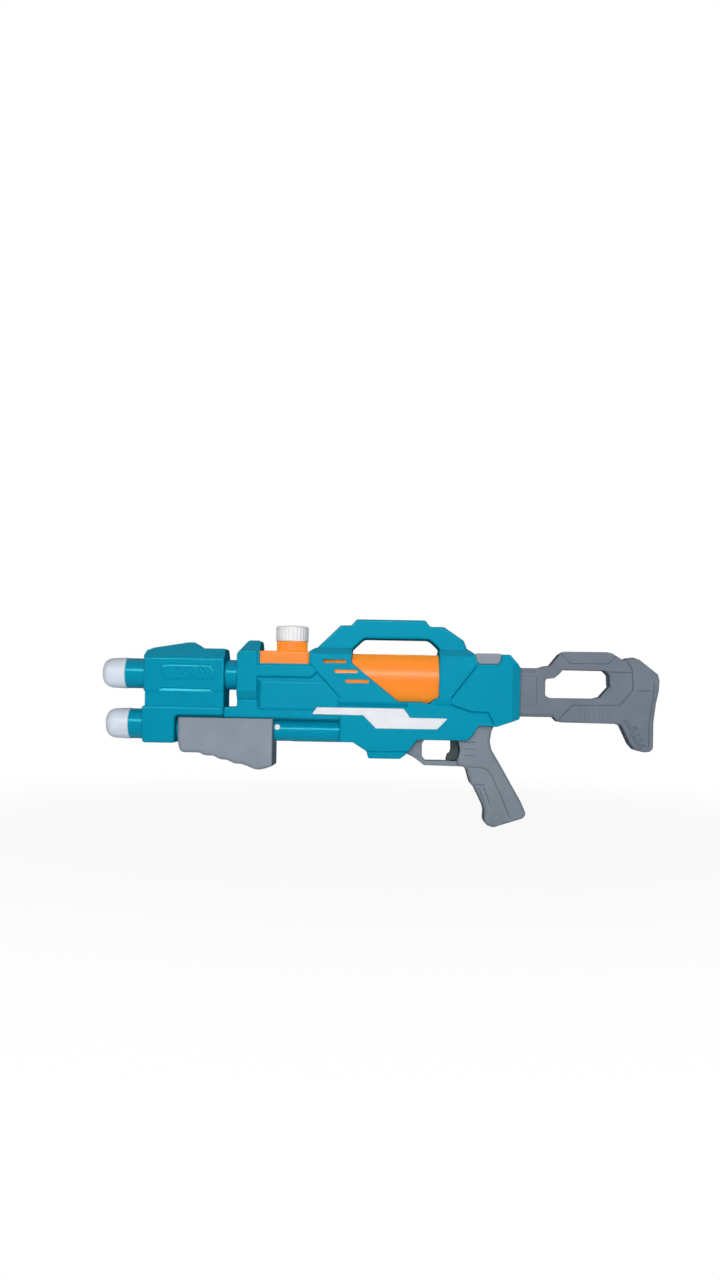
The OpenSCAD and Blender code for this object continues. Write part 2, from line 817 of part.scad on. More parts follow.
// delivery hose: back along the barrel, down in front of the tank, then to the valve
module barrel_hose() {
  ease = [for (i = [0:6]) [i / 6, (1 - cos(30 * i)) / 2]];
  path = concat(
    [[x_man + 14.2, 0, z_bore]],
    [for (a = [0:15:90]) [hose_x - hose_bend * (1 - sin(a)), 0, z_bore - hose_bend * (1 - cos(a))]],
    [for (a = [0:15:90]) [hose_x + hose_bend * (1 - cos(a)), 0, z_hose + hose_bend * (1 - sin(a))]],
    [for (e = ease) [hose_x + hose_bend + 10 + 50 * e[0], hose_y * e[1], z_hose]],
    [for (e = ease) [valve_x - 70 + 50 * e[0], hose_y, z_hose + (z_valve - z_hose) * e[1]]],
    [[valve_x - 7.2, hose_y, z_valve]]
  );
  color("dimgrey") swept_tube(path, hose_r, 8);
}

module air_hose() {
  bend = 15;
  path = concat(
    [[cylinder_end + head_len + 0.2, 0, z_pump]],
    [for (a = [0:15:90]) [air_x - bend + bend * sin(a), 0, z_pump + bend * (1 - cos(a))]],
    [[air_x, 0, z_bore - tank_r - tank_spigot - 0.2]]
  );
  color("dimgrey") swept_tube(path, hose_r, 8);
}

module tank_hose() {
  color("dimgrey")
    translate([outlet_x, 0, z_valve + valve_r + 0.2])
      difference() {
        cylinder(h = fit_gap - 0.5, r = 5.6);
        translate([0, 0, -1]) cylinder(h = fit_gap + 2, r = 4);
      }
}

function saddle_outline() = [
  [saddle_x[0], z_bore, 0],
  [saddle_x[1], z_bore, 3],
  [saddle_x[1], z_bore + deck + 0.5, 3],
  [saddle_x[0], z_bore + deck + 0.5, 3]
];

// half section of the tank, t inside its skin: a neck, a shoulder and the full width
function tank_profile(t) = [
  [0, x_tank + t],
  [tank_neck_r - tank_round, x_tank + t],
  [tank_neck_r - t, x_tank + tank_round],
  [tank_neck_r - t, tank_step],
  [tank_r - t, tank_step + tank_r - tank_neck_r],
  [tank_r - t, x_tank_end - tank_round],
  [tank_r - tank_round, x_tank_end - t],
  [0, x_tank_end - t]
];

module tank_turned(t) {
  translate([0, 0, z_bore]) rotate([0, 90, 0]) rotate_extrude() polygon(tank_profile(t));
}

module water_tank() {
  color("orange")
    difference() {
      union() {
        tank_turned(0);
        both_sides() plate(saddle_outline(), saddle_w);
        translate([x_fill, 0, z_bore + deck - 2]) cylinder(h = z_fill - z_bore - deck + 2, r = filler_r);
        translate([x_fill, 0, z_fill - 1]) cylinder(h = spout_h + 1, r = spout_r);
        for (x = [outlet_x, air_x])
          translate([x, 0, z_bore - tank_r - tank_spigot]) cylinder(h = tank_spigot + 2, r = 3.9);
      }
      tank_turned(tank_wall);
      both_sides() plate(inset(saddle_outline(), tank_wall), saddle_w - tank_wall, -1);
      translate([x_fill, 0, z_bore]) cylinder(h = z_fill + spout_h, r = spout_r - 2.5);
      for (x = [outlet_x, air_x])
        translate([x, 0, z_bore - tank_r - tank_spigot - 1]) cylinder(h = tank_spigot + 5, r = 2.2);
    }
}

module tank_cap() {
  inside = spout_r + loose_gap;
  color("whitesmoke")
    translate([x_fill, 0, z_fill + cap_rest])
      difference() {
        rotate_extrude()
          polygon([
            [inside, 0], [cap_r, 0], [cap_r, cap_h - 1.5], [cap_r - 1.5, cap_h], [0, cap_h],
            [0, cap_h - cap_top], [inside, cap_h - cap_top]
          ]);
        for (i = [0:cap_flutes - 1])
          rotate([0, 0, 360 * i / cap_flutes])
            translate([cap_r + 0.7, 0, 1.5])
              cylinder(h = cap_h - 4.5, r = 0.7 + flute_depth, $fn = 16);
      }
}

module cap_seal() {
  color("dimgrey")
    translate([x_fill, 0, z_fill + spout_h + 0.1])
      difference() {
        cylinder(h = seal_t, r = spout_r);
        translate([0, 0, -1]) cylinder(h = seal_t + 2, r = spout_r - 5);
      }
}

// trim with a raised rim round its sunk middle
trim_rim = 2.2;
module trim_half() {
  difference() {
    plate(trim_outline(), body_w + 1, body_w - 1.5);
    plate([for (p = inset(trim_outline(), trim_rim)) [p[0], p[1], 0]], body_w + 2, body_w + 0.5);
  }
}

module side_trim_left() {
  color("white") trim_half();
}

module side_trim_right() {
  color("white") mirror([0, 1, 0]) trim_half();
}

function guard_outline() = [
  rear_low(-143, -26.5, 2),
  rear_low(-131, -32.5, 2),
  rear_low(-119, -41.5, 2),
  rear_low(-64, -42.5),
  rear_low(-64, -34.7, 2),
  rear_low(-118, -35, 2),
  rear_low(-122, -29, 2),
  rear_low(-122, -13.5, 2),
  rear_low(-118.5, -8),
  rear_low(-129.5, -8)
];

function grip_outline() = [
  rear_low(-77, -42, 3),
  rear_low(-67, -42.5, 3),
  rear_low(-64.5, -53.5, 3),
  rear_low(-61, -64, 3),
  rear_low(-54.7, -72.5, 3),
  rear_low(-44, -94, 3),
  [x_rear - 43.3, 14.5, 3],
  [x_rear - 43, 6.5, 3],
  [x_rear - 37, 1, 3],
  [x_rear - 29.5, 0, 3],
  [x_rear + 6, 12, 3],
  [x_rear + 11.3, 18, 3],
  [x_rear + 8.5, 27, 3],
  rear_low(-7.4, -62.7, 3),
  rear_low(-26, -29.6, 3),
  rear_low(-33.8, -17, 3),
  rear_low(-35.3, -8, 3),
  rear_low(-34.2, 2, 3),
  rear_low(-29, 10),
  rear_low(-51, 11.5),
  rear_low(-60, -2),
  rear_low(-66, -8),
  rear_low(-77, -8)
];

module grip_half() {
  difference() {
    union() {
      difference() {
        plate(grip_outline(), grip_w);
        hollow(grip_outline(), grip_w);
      }
      plate(guard_outline(), guard_w);
      // tongue held in the body, spring seat and screw posts
      block([x_rear - 53, x_rear - 35], [-8, 0], [z_pump + 8, z_pump + 20]);
      block([pivot_x + 21, pivot_x + 23.4], [1 - grip_w, 0], [z_pump - 22, z_pump - 9]);
      posts(grip_posts);
      across(grip_posts[0][0], grip_posts[0][1], 7, -grip_w - 0.8, 0);
    }
    // moulded line round the palm panel
    groove([rear_low(-60, -43.2), rear_low(-41, -43.6), rear_low(-33, -48), rear_low(-8, -106)], grip_w);
    groove([rear_low(-56, -64.8), rear_low(-42, -64.6)], grip_w);
    // way for the trigger through the frame and into the guard
    block([pivot_x - 14, pivot_x + trigger_back], [-trigger_w - 0.6, 1], [z_pump - 38, z_pump - 5]);
  }
}

module grip_shell_left() {
  color("slategrey")
    difference() {
      grip_half();
      pilots(grip_posts);
    }
}

module grip_shell_right() {
  color("slategrey")
    mirror([0, 1, 0])
      difference() {
        grip_half();
        wells(grip_posts);
      }
}

module pump_guide_tube() {
  color("darkcyan")
    difference() {
      along_x(guide_x, z_pump, guide_r, guide_end - guide_x);
      along_x(guide_x - 1, z_pump, guide_r - guide_wall, guide_end - guide_x + 2);
      block([carrier_x - 8, carrier_x + carrier_len + pump_stroke + 3],
        [-guide_slot / 2, guide_slot / 2], [z_pump - guide_r - 1, z_pump - 5]);
      across(plug_x, z_pump + 4, plug_r + run_gap, -guide_r - 1, 0);
    }
}

// white plug set flush in the near wall of the guide tube
module tube_plug() {
  color("white")
    difference() {
      intersection() {
        across(plug_x, z_pump + 4, plug_r, -guide_r - 1, -6);
        along_x(plug_x - 10, z_pump, guide_r, 20);
      }
      along_x(plug_x - 11, z_pump, guide_r - guide_wall, 22);
    }
}

module pump_cylinder() {
  rim = guide_r - guide_wall - seat_gap;
  color("lightgrey")
    difference() {
      union() {
        along_x(cylinder_x, z_pump, cylinder_r, cylinder_end - cylinder_x);
        along_x(cylinder_x, z_pump, rim, 4);
        along_x(guide_end - 8, z_pump, rim, 6);
      }
      along_x(cylinder_x + 4, z_pump, bore_r, cylinder_end);
      along_x(cylinder_x - 1, z_pump, rod_r + run_gap, 8);
    }
}

module pump_head() {
  color("lightgrey")
    difference() {
      along_x(cylinder_end, z_pump, cylinder_r, head_len);
      along_x(cylinder_end - 1, z_pump, 2, head_len + 2);
      along_x(cylinder_end + 5, z_pump, 3.6, 12);
    }
}

module check_ball() {
  color("silver") translate([cylinder_end + 7.35, 0, z_pump]) sphere(r = 3);
}

module check_spring() {
  color("silver")
    translate([cylinder_end + 10.5, 0, z_pump]) rotate([0, 90, 0]) coil(6.4, 2.4, 0.3, 4);
}

module pump_rod() {
  color("lightgrey") {
    along_x(carrier_x, z_pump, guide_r - guide_wall - run_gap, carrier_len);
    along_x(carrier_x + carrier_len - 1, z_pump, rod_r, piston_x - carrier_x - carrier_len + 1);
    block([carrier_x + 2, carrier_x + 14], [-lug_w, lug_w], [z_pump - 24, z_pump - 6]);
  }
}

module pump_piston() {
  color("dimgrey")
    difference() {
      along_x(piston_x, z_pump, bore_r - 0.3, piston_len);
      difference() {
        along_x(piston_x + 5.5, z_pump, bore_r + 1, 3);
        along_x(piston_x + 5, z_pump, bore_r - 2.2, 4);
      }
    }
}

module piston_ring() {
  color("black")
    difference() {
      along_x(piston_x + 5.6, z_pump, bore_r - run_gap, 2.8);
      along_x(piston_x + 5, z_pump, bore_r - 2.15, 4);
    }
}

function pump_grip_belly() = [
  grip_at(0.3, -14.3, 2),
  grip_at(3.1, -25.7, 2),
  grip_at(6, -29, 2),
  grip_at(28.5, -29.2, 2),
  grip_at(33.5, -32.4, 2),
  grip_at(45.5, -32.6, 2),
  grip_at(51.5, -36.4, 2),
  grip_at(62.5, -37.6, 2),
  grip_at(73, -42.6, 2),
  grip_at(81, -42.4, 2),
  grip_at(pump_grip_len - 23.5, -48.8, 2),
  grip_at(pump_grip_len - 16.5, -49.8, 2),
  grip_at(pump_grip_len - 8.5, -48, 2),
  grip_at(pump_grip_len, -44.6)
];

module pump_grip_half() {
  lug_x = [carrier_x + 2 - seat_gap, carrier_x + 14 + seat_gap];
  slide_gap = 0.3;
  difference() {
    union() {
      difference() {
        plate(concat(pump_grip_belly(), [grip_at(pump_grip_len, 15.6), grip_at(0, 15.6, 2)]), pump_grip_w);
        hollow(concat(
            [for (i = [1:len(pump_grip_belly()) - 1]) pump_grip_belly()[i]],
            [grip_at(pump_grip_len, -16), grip_at(0.8, -16)]
          ), pump_grip_w);
      }
      posts(pump_posts);
      block([lug_x[0] - wall, lug_x[1] + wall], [-lug_w - seat_gap - wall, 0], [z_pump - 27, z_pump - 15]);
    }
    along_x(pump_grip_x - 1, z_pump, guide_r + slide_gap, pump_grip_len + 2);
    block([pump_grip_x - 1, pump_grip_x + pump_grip_len + 1], [-guide_r - slide_gap, 1],
      [z_pump, z_pump + 20]);
    block(lug_x, [-lug_w - seat_gap, 1], [z_pump - 24 - seat_gap, z_pump - 8]);
  }
}

module pump_grip_left() {
  color("slategrey")
    difference() {
      pump_grip_half();
      pilots(pump_posts);
    }
}

module pump_grip_right() {
  color("slategrey")
    mirror([0, 1, 0])
      difference() {
        pump_grip_half();
        wells(pump_posts);
      }
}

function trigger_at(x, z, b) = [pivot_x + x, pivot_z + z, b];

module trigger() {
  outline = [
    trigger_at(-10.5, -35.5, 0.8),
    trigger_at(1, -35.8, 0.8),
    trigger_at(6, -28.6, 0.8),
    trigger_at(7, -21, 0.8),
    trigger_at(5, -14, 0),
    trigger_at(6.5, 3, 0),
    trigger_at(3, valve_rise + 3, 0),
    trigger_at(-arm_front, valve_rise + 3, 0),
    trigger_at(-arm_front, 8, 0),
    trigger_at(-7, 0, 0.8),
    trigger_at(-5, -20, 0.8),
    trigger_at(-6, -24.3, 0.8),
    trigger_at(-9.3, -26, 0.8),
    trigger_at(-11, -32.5, 0.8)
  ];
  color("darkslategrey")
    difference() {
      both_sides() plate(outline, trigger_w);
      across(pivot_x, pivot_z, trigger_pin_r + run_gap, -trigger_w - 1, trigger_w + 1);
    }
}

module trigger_pin() {
  color("silver") across(pivot_x, pivot_z, trigger_pin_r, -14.5, 14.5);
}

module trigger_spring() {
  color("silver")
    translate([pivot_x + 7.2, 0, z_pump - 16]) rotate([0, 90, 0]) coil(13.6, 3, 0.45, 6);
}

module valve_body() {
  color("lightgrey")
    difference() {
      union() {
        along_x(valve_x, z_valve, valve_r, valve_len);
        translate([outlet_x, 0, z_valve + valve_r - 2]) cylinder(h = valve_spigot + 2, r = 3.9);
        across(valve_x + 6, z_valve, 4, hose_y, 0);
        translate([valve_x + 6, hose_y, z_valve]) sphere(r = 4);
        along_x(valve_x - 7, z_valve, hose_r, 13, hose_y);
      }
      along_x(valve_x + 3, z_valve, valve_bore, valve_len - 6);
      along_x(valve_x + valve_len - 5, z_valve, plunger_r + run_gap, 8);
      translate([outlet_x, 0, z_valve]) cylinder(h = 20, r = 2);
      across(valve_x + 6, z_valve, 2, hose_y, 0);
      along_x(valve_x - 8, z_valve, 2, 14, hose_y);
    }
}

module valve_plunger() {
  color("dimgrey")
    difference() {
      union() {
        along_x(valve_x + 25, z_valve, valve_bore - run_gap, 7.6);
        along_x(valve_x + 30, z_valve, plunger_r, stem_end - plunger_r - valve_x - 30);
        translate([stem_end - plunger_r, 0, z_valve]) sphere(r = plunger_r);
      }
      difference() {
        along_x(valve_x + 27.6, z_valve, valve_bore + 1, 2.4);
        along_x(valve_x + 27, z_valve, 3.4, 4);
      }
    }
}

module plunger_seal() {
  color("black")
    difference() {
      along_x(valve_x + 27.7, z_valve, valve_bore - run_gap / 2, 2.2);
      along_x(valve_x + 27, z_valve, 3.45, 4);
    }
}

module valve_spring() {
  color("silver")
    translate([valve_x + 3.2, 0, z_valve]) rotate([0, 90, 0]) coil(21.6, 3.6, 0.45, 9);
}

// butt of the stock, from the end of the lower bar round to the top notch
function butt_edge() = [
  butt_low(-59, 16.5, 2),
  butt_low(-54, 14, 2),
  butt_low(-47, -5, 2),
  butt_low(-44, -12.5, 2),
  butt_low(-37, -16.7, 2),
  butt_low(-22.5, -20, 2),
  butt_low(-13, -19.5, 2),
  butt_low(-7.5, -15.5, 2),
  butt_low(-6.7, 20, 2),
  butt_up(-0.5, -13, 2),
  butt_up(0, 4, 2),
  butt_up(-3.5, 11.8, 2),
  butt_up(-26, 29.4, 2),
  butt_up(-33, 32, 2),
  butt_up(-40, 31.7, 2)
];

function loop_outline() = concat(
  [rear_low(28, 23, 2), rear_low(43, 23, 2), rear_low(52, 17.2, 2)],
  butt_edge(),
  [
    butt_up(-47.5, 28.4, 2),
    butt_up(-59.5, 36, 2),
    butt_up(-66, 38.3, 2),
    rear_up(54, 38, 2),
    rear_up(48, 34.5, 2),
    rear_up(36, 21, 2),
    rear_up(28, 17, 2)
  ]
);

// opening of the stock loop, listed clockwise so that its rim can be bevelled
function loop_window() = [
  rear_low(35, 53, 2),
  rear_up(35, 1.6, 2),
  rear_up(45, 2.4, 2),
  rear_up(55, 12.5, 2),
  rear_up(59.5, 14.2, 2),
  butt_up(-77, 14, 2),
  butt_up(-70.5, 8, 2),
  butt_up(-68.5, 2, 2),
  butt_up(-69, -8.5, 2),
  butt_low(-80, 49.5, 2),
  butt_low(-85, 47.6, 2),
  rear_low(41, 47.8, 2)
];

function step_outline() = concat(
  [rear_low(52, 17.2, 2)],
  butt_edge(),
  [
    butt_up(-42.6, 27.8, 2),
    butt_up(-36, 21.5, 2),
    butt_up(-34.2, -10.6, 2),
    butt_low(-50.6, 40.5, 2),
    rear_low(71, 39.4, 2),
    rear_low(59.6, 28.3, 2)
  ]
);

function bar_outline() = [
  [bar_x, bar_z[0], 1.5],
  [x_rear + 50, bar_z[0], 0],
  [x_rear + 50, bar_z[1], 1.5],
  [bar_x, bar_z[1], 0]
];

module stock_half() {
  window = loop_window();
  difference() {
    union() {
      difference() {
        union() {
          plate(loop_outline(), stock_w);
          plate(step_outline(), stock_w + 1.5, stock_w - 2.2);
          plate(bar_outline(), bar_w);
        }
        hollow(loop_outline(), stock_w);
        hollow(bar_outline(), bar_w);
      }
      rotate([90, 0, 0])
        linear_extrude(stock_w - 0.5)
          polygon([for (p = inset(window, wall)) flat(p)]);
      posts(stock_posts);
    }
    rotate([90, 0, 0])
      translate([0, 0, -1])
        linear_extrude(stock_w + 5)
          polygon([for (p = window) flat(p)]);
    bevels(window, stock_w);
    // slot for the latch tooth, sunk panels of the bar and of the loop
    block([tooth_x[0] - 0.5, tooth_x[1] + stock_travel + 0.5], [-tooth_w - 0.5, 1],
      [bar_z[1] - 8, bar_z[1] + 1]);
    block([x_rear + 3, x_rear + 28], [-bar_w - 1, 1 - bar_w], [z_pump + 37.6, z_bore + 5]);
    plate([rear_up(66, 22.7), butt_up(-67, 22.9), butt_up(-60, 30), rear_up(57, 32.8)],
      stock_w + 1, stock_w - 0.8);
  }
}

module stock_shell_left() {
  color("slategrey")
    difference() {
      stock_half();
      pilots(stock_posts);
    }
}

module stock_shell_right() {
  color("slategrey")
    mirror([0, 1, 0])
      difference() {
        stock_half();
        wells(stock_posts);
      }
}

module stock_button() {
  color("slategrey") {
    difference() {
      both_sides() plate(button_outline(0, 0), button_w);
      block([x_rear - 50, x_rear - 29], [3 - button_w, button_w - 3], [latch_z - 20, latch_z - 2.7]);
    }
    block(tooth_x, [-tooth_w, tooth_w], [bar_z[1] - 4, latch_z - 1]);
  }
}

module button_springs() {
  color("silver")
    for (s = [-12, 12])
      translate([x_rear - 41, s, shelf_z[1] + 0.1]) coil(latch_z - 2.9 - shelf_z[1], 2.6, 0.4, 5);
}

module body_screws() {
  screws(body_posts);
}

module nose_screws() {
  screws(nose_posts);
}

module grip_screws() {
  screws(grip_posts);
}

module stock_screws() {
  screws(stock_posts);
}

module pump_grip_screws() {
  screws(pump_posts);
}

module placed() {
  translate([-overall_len / 2, 0, 0]) children();
}

placed() body_shell_left();
placed() body_shell_right();
placed() nose_shell_left();
placed() nose_shell_right();
placed() upper_barrel();
placed() lower_barrel();
placed() upper_nozzle_tip();
placed() lower_nozzle_tip();
placed() upper_jet_tube();
placed() lower_jet_tube();
placed() jet_manifold();
placed() barrel_hose();
placed() air_hose();
placed() tank_hose();
placed() water_tank();
placed() tank_cap();
placed() cap_seal();
placed() side_trim_left();
placed() side_trim_right();
placed() grip_shell_left();
placed() grip_shell_right();
placed() pump_guide_tube();
placed() tube_plug();
placed() pump_cylinder();
placed() pump_head();
placed() check_ball();
placed() check_spring();
placed() pump_rod();
placed() pump_piston();
placed() piston_ring();
placed() pump_grip_left();
placed() pump_grip_right();
placed() trigger();
placed() trigger_pin();
placed() trigger_spring();
placed() valve_body();
placed() valve_plunger();
placed() plunger_seal();
placed() valve_spring();
placed() stock_shell_left();
placed() stock_shell_right();
placed() stock_button();
placed() button_springs();
placed() body_screws();
placed() nose_screws();
placed() grip_screws();
placed() stock_screws();
placed() pump_grip_screws();
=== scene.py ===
import math

import bmesh
import bpy
import numpy as np
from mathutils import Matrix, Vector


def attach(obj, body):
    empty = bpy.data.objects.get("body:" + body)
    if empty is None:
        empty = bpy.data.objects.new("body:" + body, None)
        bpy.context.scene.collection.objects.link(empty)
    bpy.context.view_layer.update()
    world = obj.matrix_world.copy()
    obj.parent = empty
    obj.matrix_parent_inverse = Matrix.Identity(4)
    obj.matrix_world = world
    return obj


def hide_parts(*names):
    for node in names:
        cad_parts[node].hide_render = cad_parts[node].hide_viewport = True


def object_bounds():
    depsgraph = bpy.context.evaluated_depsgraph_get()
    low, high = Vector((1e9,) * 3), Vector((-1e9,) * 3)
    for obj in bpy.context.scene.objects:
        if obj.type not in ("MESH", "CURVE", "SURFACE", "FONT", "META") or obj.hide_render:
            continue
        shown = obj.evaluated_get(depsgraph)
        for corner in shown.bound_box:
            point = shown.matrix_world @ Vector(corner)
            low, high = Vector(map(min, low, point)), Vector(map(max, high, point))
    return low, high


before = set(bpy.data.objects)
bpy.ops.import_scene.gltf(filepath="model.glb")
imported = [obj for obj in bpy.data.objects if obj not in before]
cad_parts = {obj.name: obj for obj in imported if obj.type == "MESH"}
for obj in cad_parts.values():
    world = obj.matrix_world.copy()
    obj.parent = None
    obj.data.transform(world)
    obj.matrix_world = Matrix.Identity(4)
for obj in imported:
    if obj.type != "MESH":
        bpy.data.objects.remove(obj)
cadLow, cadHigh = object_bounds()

# Shapes are drawn in millimetres: x runs from the muzzle to the butt, z is up, y = 0 is the split
# line between the halves, and y is negative on the left side, which the camera sees.
millimetre = 0.001
scene = bpy.context.scene
scene.view_settings.view_transform = "Standard"


# Camera and light

cameraSetup = {
    "stand": (0.0006, -1.3, 0.1673),
    "lens": 28.125,
    "sensor": 36.0,
    "nearest": 0.05,
    "photoHigh": 1280,
    "shiftPixels": (-20, 55.7),
    "rollDegrees": -1.0,
}


def placeCamera(setup):
    # A level camera, rolled a little, whose frame is shifted by a share of the photo's height.
    data = bpy.data.cameras.new("photoCamera")
    data.lens = setup["lens"]
    data.sensor_width = setup["sensor"]
    data.shift_x, data.shift_y = (pixels / setup["photoHigh"] for pixels in setup["shiftPixels"])
    data.clip_start = setup["nearest"]
    camera = bpy.data.objects.new("photoCamera", data)
    camera.location = setup["stand"]
    camera.rotation_euler = (math.pi / 2, math.radians(setup["rollDegrees"]), 0.0)
    scene.collection.objects.link(camera)
    scene.camera = camera


lightSetup = {
    "strip": {"place": (-0.25, -1.75, 0.92), "size": (1.7, 0.30), "power": 62.0, "gives": "glint"},
    "front": {"place": (-0.05, -2.40, 0.26), "size": (0.9, 0.9), "power": 54.0, "gives": "light"},
    "top": {"place": (0.0, -0.30, 2.20), "size": (1.8, 1.4), "power": 1.5, "gives": "light"},
    "back": {"place": (0.0, 4.00, 0.25), "size": (0.8, 0.8), "power": 105.0, "gives": "light"},
    "aim": (0.0, 0.0, 0.15),
    "worldLevel": 0.12,
    "floorReach": 6.0,
    "floorPaint": 0.94,
    "floorFade": (0.35, 0.95),
    "floorGlow": 0.92,
}


def addSoftbox(name, lamp, aim):
    # A rectangular lamp that faces the object; one gives only glints, the others only plain light.
    data = bpy.data.lights.new(name, "AREA")
    data.shape = "RECTANGLE"
    data.size, data.size_y = lamp["size"]
    data.energy = lamp["power"]
    softbox = bpy.data.objects.new(name, data)
    softbox.location = lamp["place"]
    back = np.array(lamp["place"]) - np.array(aim)
    flat = math.hypot(back[0], back[1])
    softbox.rotation_euler = (math.atan2(flat, back[2]), 0.0, math.atan2(back[0], -back[1]))
    softbox.visible_camera = False
    softbox.visible_glossy = lamp["gives"] == "glint"
    softbox.visible_diffuse = lamp["gives"] == "light"
    scene.collection.objects.link(softbox)


def combine(tree, how, first, second):
    # One number from two, as the named operation gives it.
    node = tree.nodes.new("ShaderNodeMath")
    node.operation = how
    tree.links.new(first, node.inputs[0])
    tree.links.new(second, node.inputs[1])
    return node.outputs[0]


def mapSpan(tree, value, given, wanted, ease="LINEAR"):
    # A number's place between two limits, carried over to two other limits.
    node = tree.nodes.new("ShaderNodeMapRange")
    node.interpolation_type = ease
    for name, limit in zip(("From Min", "From Max", "To Min", "To Max"), (*given, *wanted)):
        node.inputs[name].default_value = limit
    tree.links.new(value, node.inputs["Value"])
    return node.outputs["Result"]


def seenDirectly(tree):
    # 1 for rays that should meet the white backdrop: camera, mirror and see-through rays
    rays = tree.nodes.new("ShaderNodeLightPath").outputs
    first = combine(tree, "MAXIMUM", rays["Is Camera Ray"], rays["Is Glossy Ray"])
    return combine(tree, "MAXIMUM", first, rays["Is Transmission Ray"])


def lightStudio(setup):
    # Four softboxes, and a world that is white to direct rays and gives only a little light.
    for name in ("strip", "front", "top", "back"):
        addSoftbox(name + "Softbox", setup[name], setup["aim"])
    world = bpy.data.worlds.new("studioWorld")
    world.use_nodes = True
    tree = world.node_tree
    sky = tree.nodes["Background"]
    sky.inputs["Color"].default_value = (1.0, 1.0, 1.0, 1.0)
    level = mapSpan(tree, seenDirectly(tree), (0.0, 1.0), (setup["worldLevel"], 1.0))
    tree.links.new(level, sky.inputs["Strength"])
    scene.world = world


def layFloor(setup):
    # A flat square whose middle takes the shadow and whose outer part melts into the white backdrop.
    reach = setup["floorReach"]
    mesh = bpy.data.meshes.new("studioFloor")
    mesh.from_pydata([(-reach, -reach, 0), (reach, -reach, 0), (reach, reach, 0), (-reach, reach, 0)],
                     [], [(0, 1, 2, 3)])
    floor = bpy.data.objects.new("studioFloor", mesh)
    scene.collection.objects.link(floor)
    material = bpy.data.materials.new("paleFloor")
    material.use_nodes = True
    tree = material.node_tree
    tree.nodes.clear()
    paint = tree.nodes.new("ShaderNodeBsdfDiffuse")
    paint.inputs["Color"].default_value = (*[setup["floorPaint"]] * 3, 1.0)
    glow = tree.nodes.new("ShaderNodeEmission")
    place = tree.nodes.new("ShaderNodeTexCoord")
    away = tree.nodes.new("ShaderNodeVectorMath")
    away.operation = "LENGTH"
    tree.links.new(place.outputs["Object"], away.inputs[0])
    fade = mapSpan(tree, away.outputs["Value"], setup["floorFade"], (setup["floorGlow"], 1.0), "SMOOTHSTEP")
    share = combine(tree, "MULTIPLY", fade, seenDirectly(tree))
    mix = tree.nodes.new("ShaderNodeMixShader")
    tree.links.new(share, mix.inputs[0])
    tree.links.new(paint.outputs[0], mix.inputs[1])
    tree.links.new(glow.outputs[0], mix.inputs[2])
    out = tree.nodes.new("ShaderNodeOutputMaterial")
    tree.links.new(mix.outputs[0], out.inputs["Surface"])
    mesh.materials.append(material)


placeCamera(cameraSetup)
lightStudio(lightSetup)
layFloor(lightSetup)
print("stage: camera, light and floor are set")


# Finishes

satin = {"shift": 0.06, "patch": 34.0, "rough": (0.46, 0.60), "grain": 1500.0, "grainDepth": 0.00005,
         "specular": 0.16}
pale = {"shift": 0.03, "patch": 40.0, "rough": (0.34, 0.46), "grain": 1100.0, "grainDepth": 0.00002,
        "specular": 0.20}
finishes = {
    "tealGloss": {
        "color": (0.001, 0.280, 0.428), "shift": 0.025, "patch": 26.0,
        "rough": (0.17, 0.23), "grain": 900.0, "grainDepth": 0.00001,
        "specular": 0.18, "tint": (0.15, 0.90, 1.0),
    },
    "greySatin": {**satin, "color": (0.246, 0.286, 0.342)},
    "gripSatin": {**satin, "color": (0.204, 0.243, 0.284)},
    "stockMatte": {
        **satin, "color": (0.162, 0.194, 0.238), "shift": 0.07, "patch": 30.0,
        "rough": (0.52, 0.66), "grainDepth": 0.00006, "specular": 0.14,
    },
    "orangeTank": {
        "color": (1.0, 0.325, 0.035), "shift": 0.04, "patch": 20.0,
        "rough": (0.30, 0.42), "grain": 700.0, "grainDepth": 0.00002,
        "specular": 0.20, "tint": (1.0, 0.95, 0.9), "milky": 1.0,
    },
    "paleNozzle": {**pale, "color": (0.720, 0.785, 0.885), "rough": (0.38, 0.50), "grainDepth": 0.00003},
    "whiteTrim": {**pale, "color": (0.800, 0.815, 0.850)},
    "whiteCap": {**pale, "color": (0.870, 0.860, 0.880), "shift": 0.02},
    "blackTrigger": {
        "color": (0.030, 0.042, 0.046), "shift": 0.10, "patch": 60.0,
        "rough": (0.34, 0.48), "grain": 1200.0, "grainDepth": 0.00003,
        "specular": 0.25,
    },
    "innerPlastic": {
        "color": (0.520, 0.535, 0.550), "shift": 0.05, "patch": 50.0,
        "rough": (0.40, 0.55), "grain": 1000.0, "grainDepth": 0.00003,
        "specular": 0.20,
    },
    "softRubber": {
        "color": (0.060, 0.062, 0.066), "shift": 0.15, "patch": 90.0,
        "rough": (0.70, 0.85), "grain": 1800.0, "grainDepth": 0.00005,
        "specular": 0.25,
    },
    "zincSteel": {
        "color": (0.560, 0.570, 0.590), "shift": 0.08, "patch": 120.0,
        "rough": (0.24, 0.40), "grain": 2600.0, "grainDepth": 0.00003,
        "specular": 0.5, "metal": 1.0,
    },
}


finishNoise = {"span": (0.3, 0.7), "glossPace": 7.0, "sheenFade": (0.32, 0.70),
               "cloudDetail": 3.0, "glossDetail": 4.0, "grainDetail": 2.0}


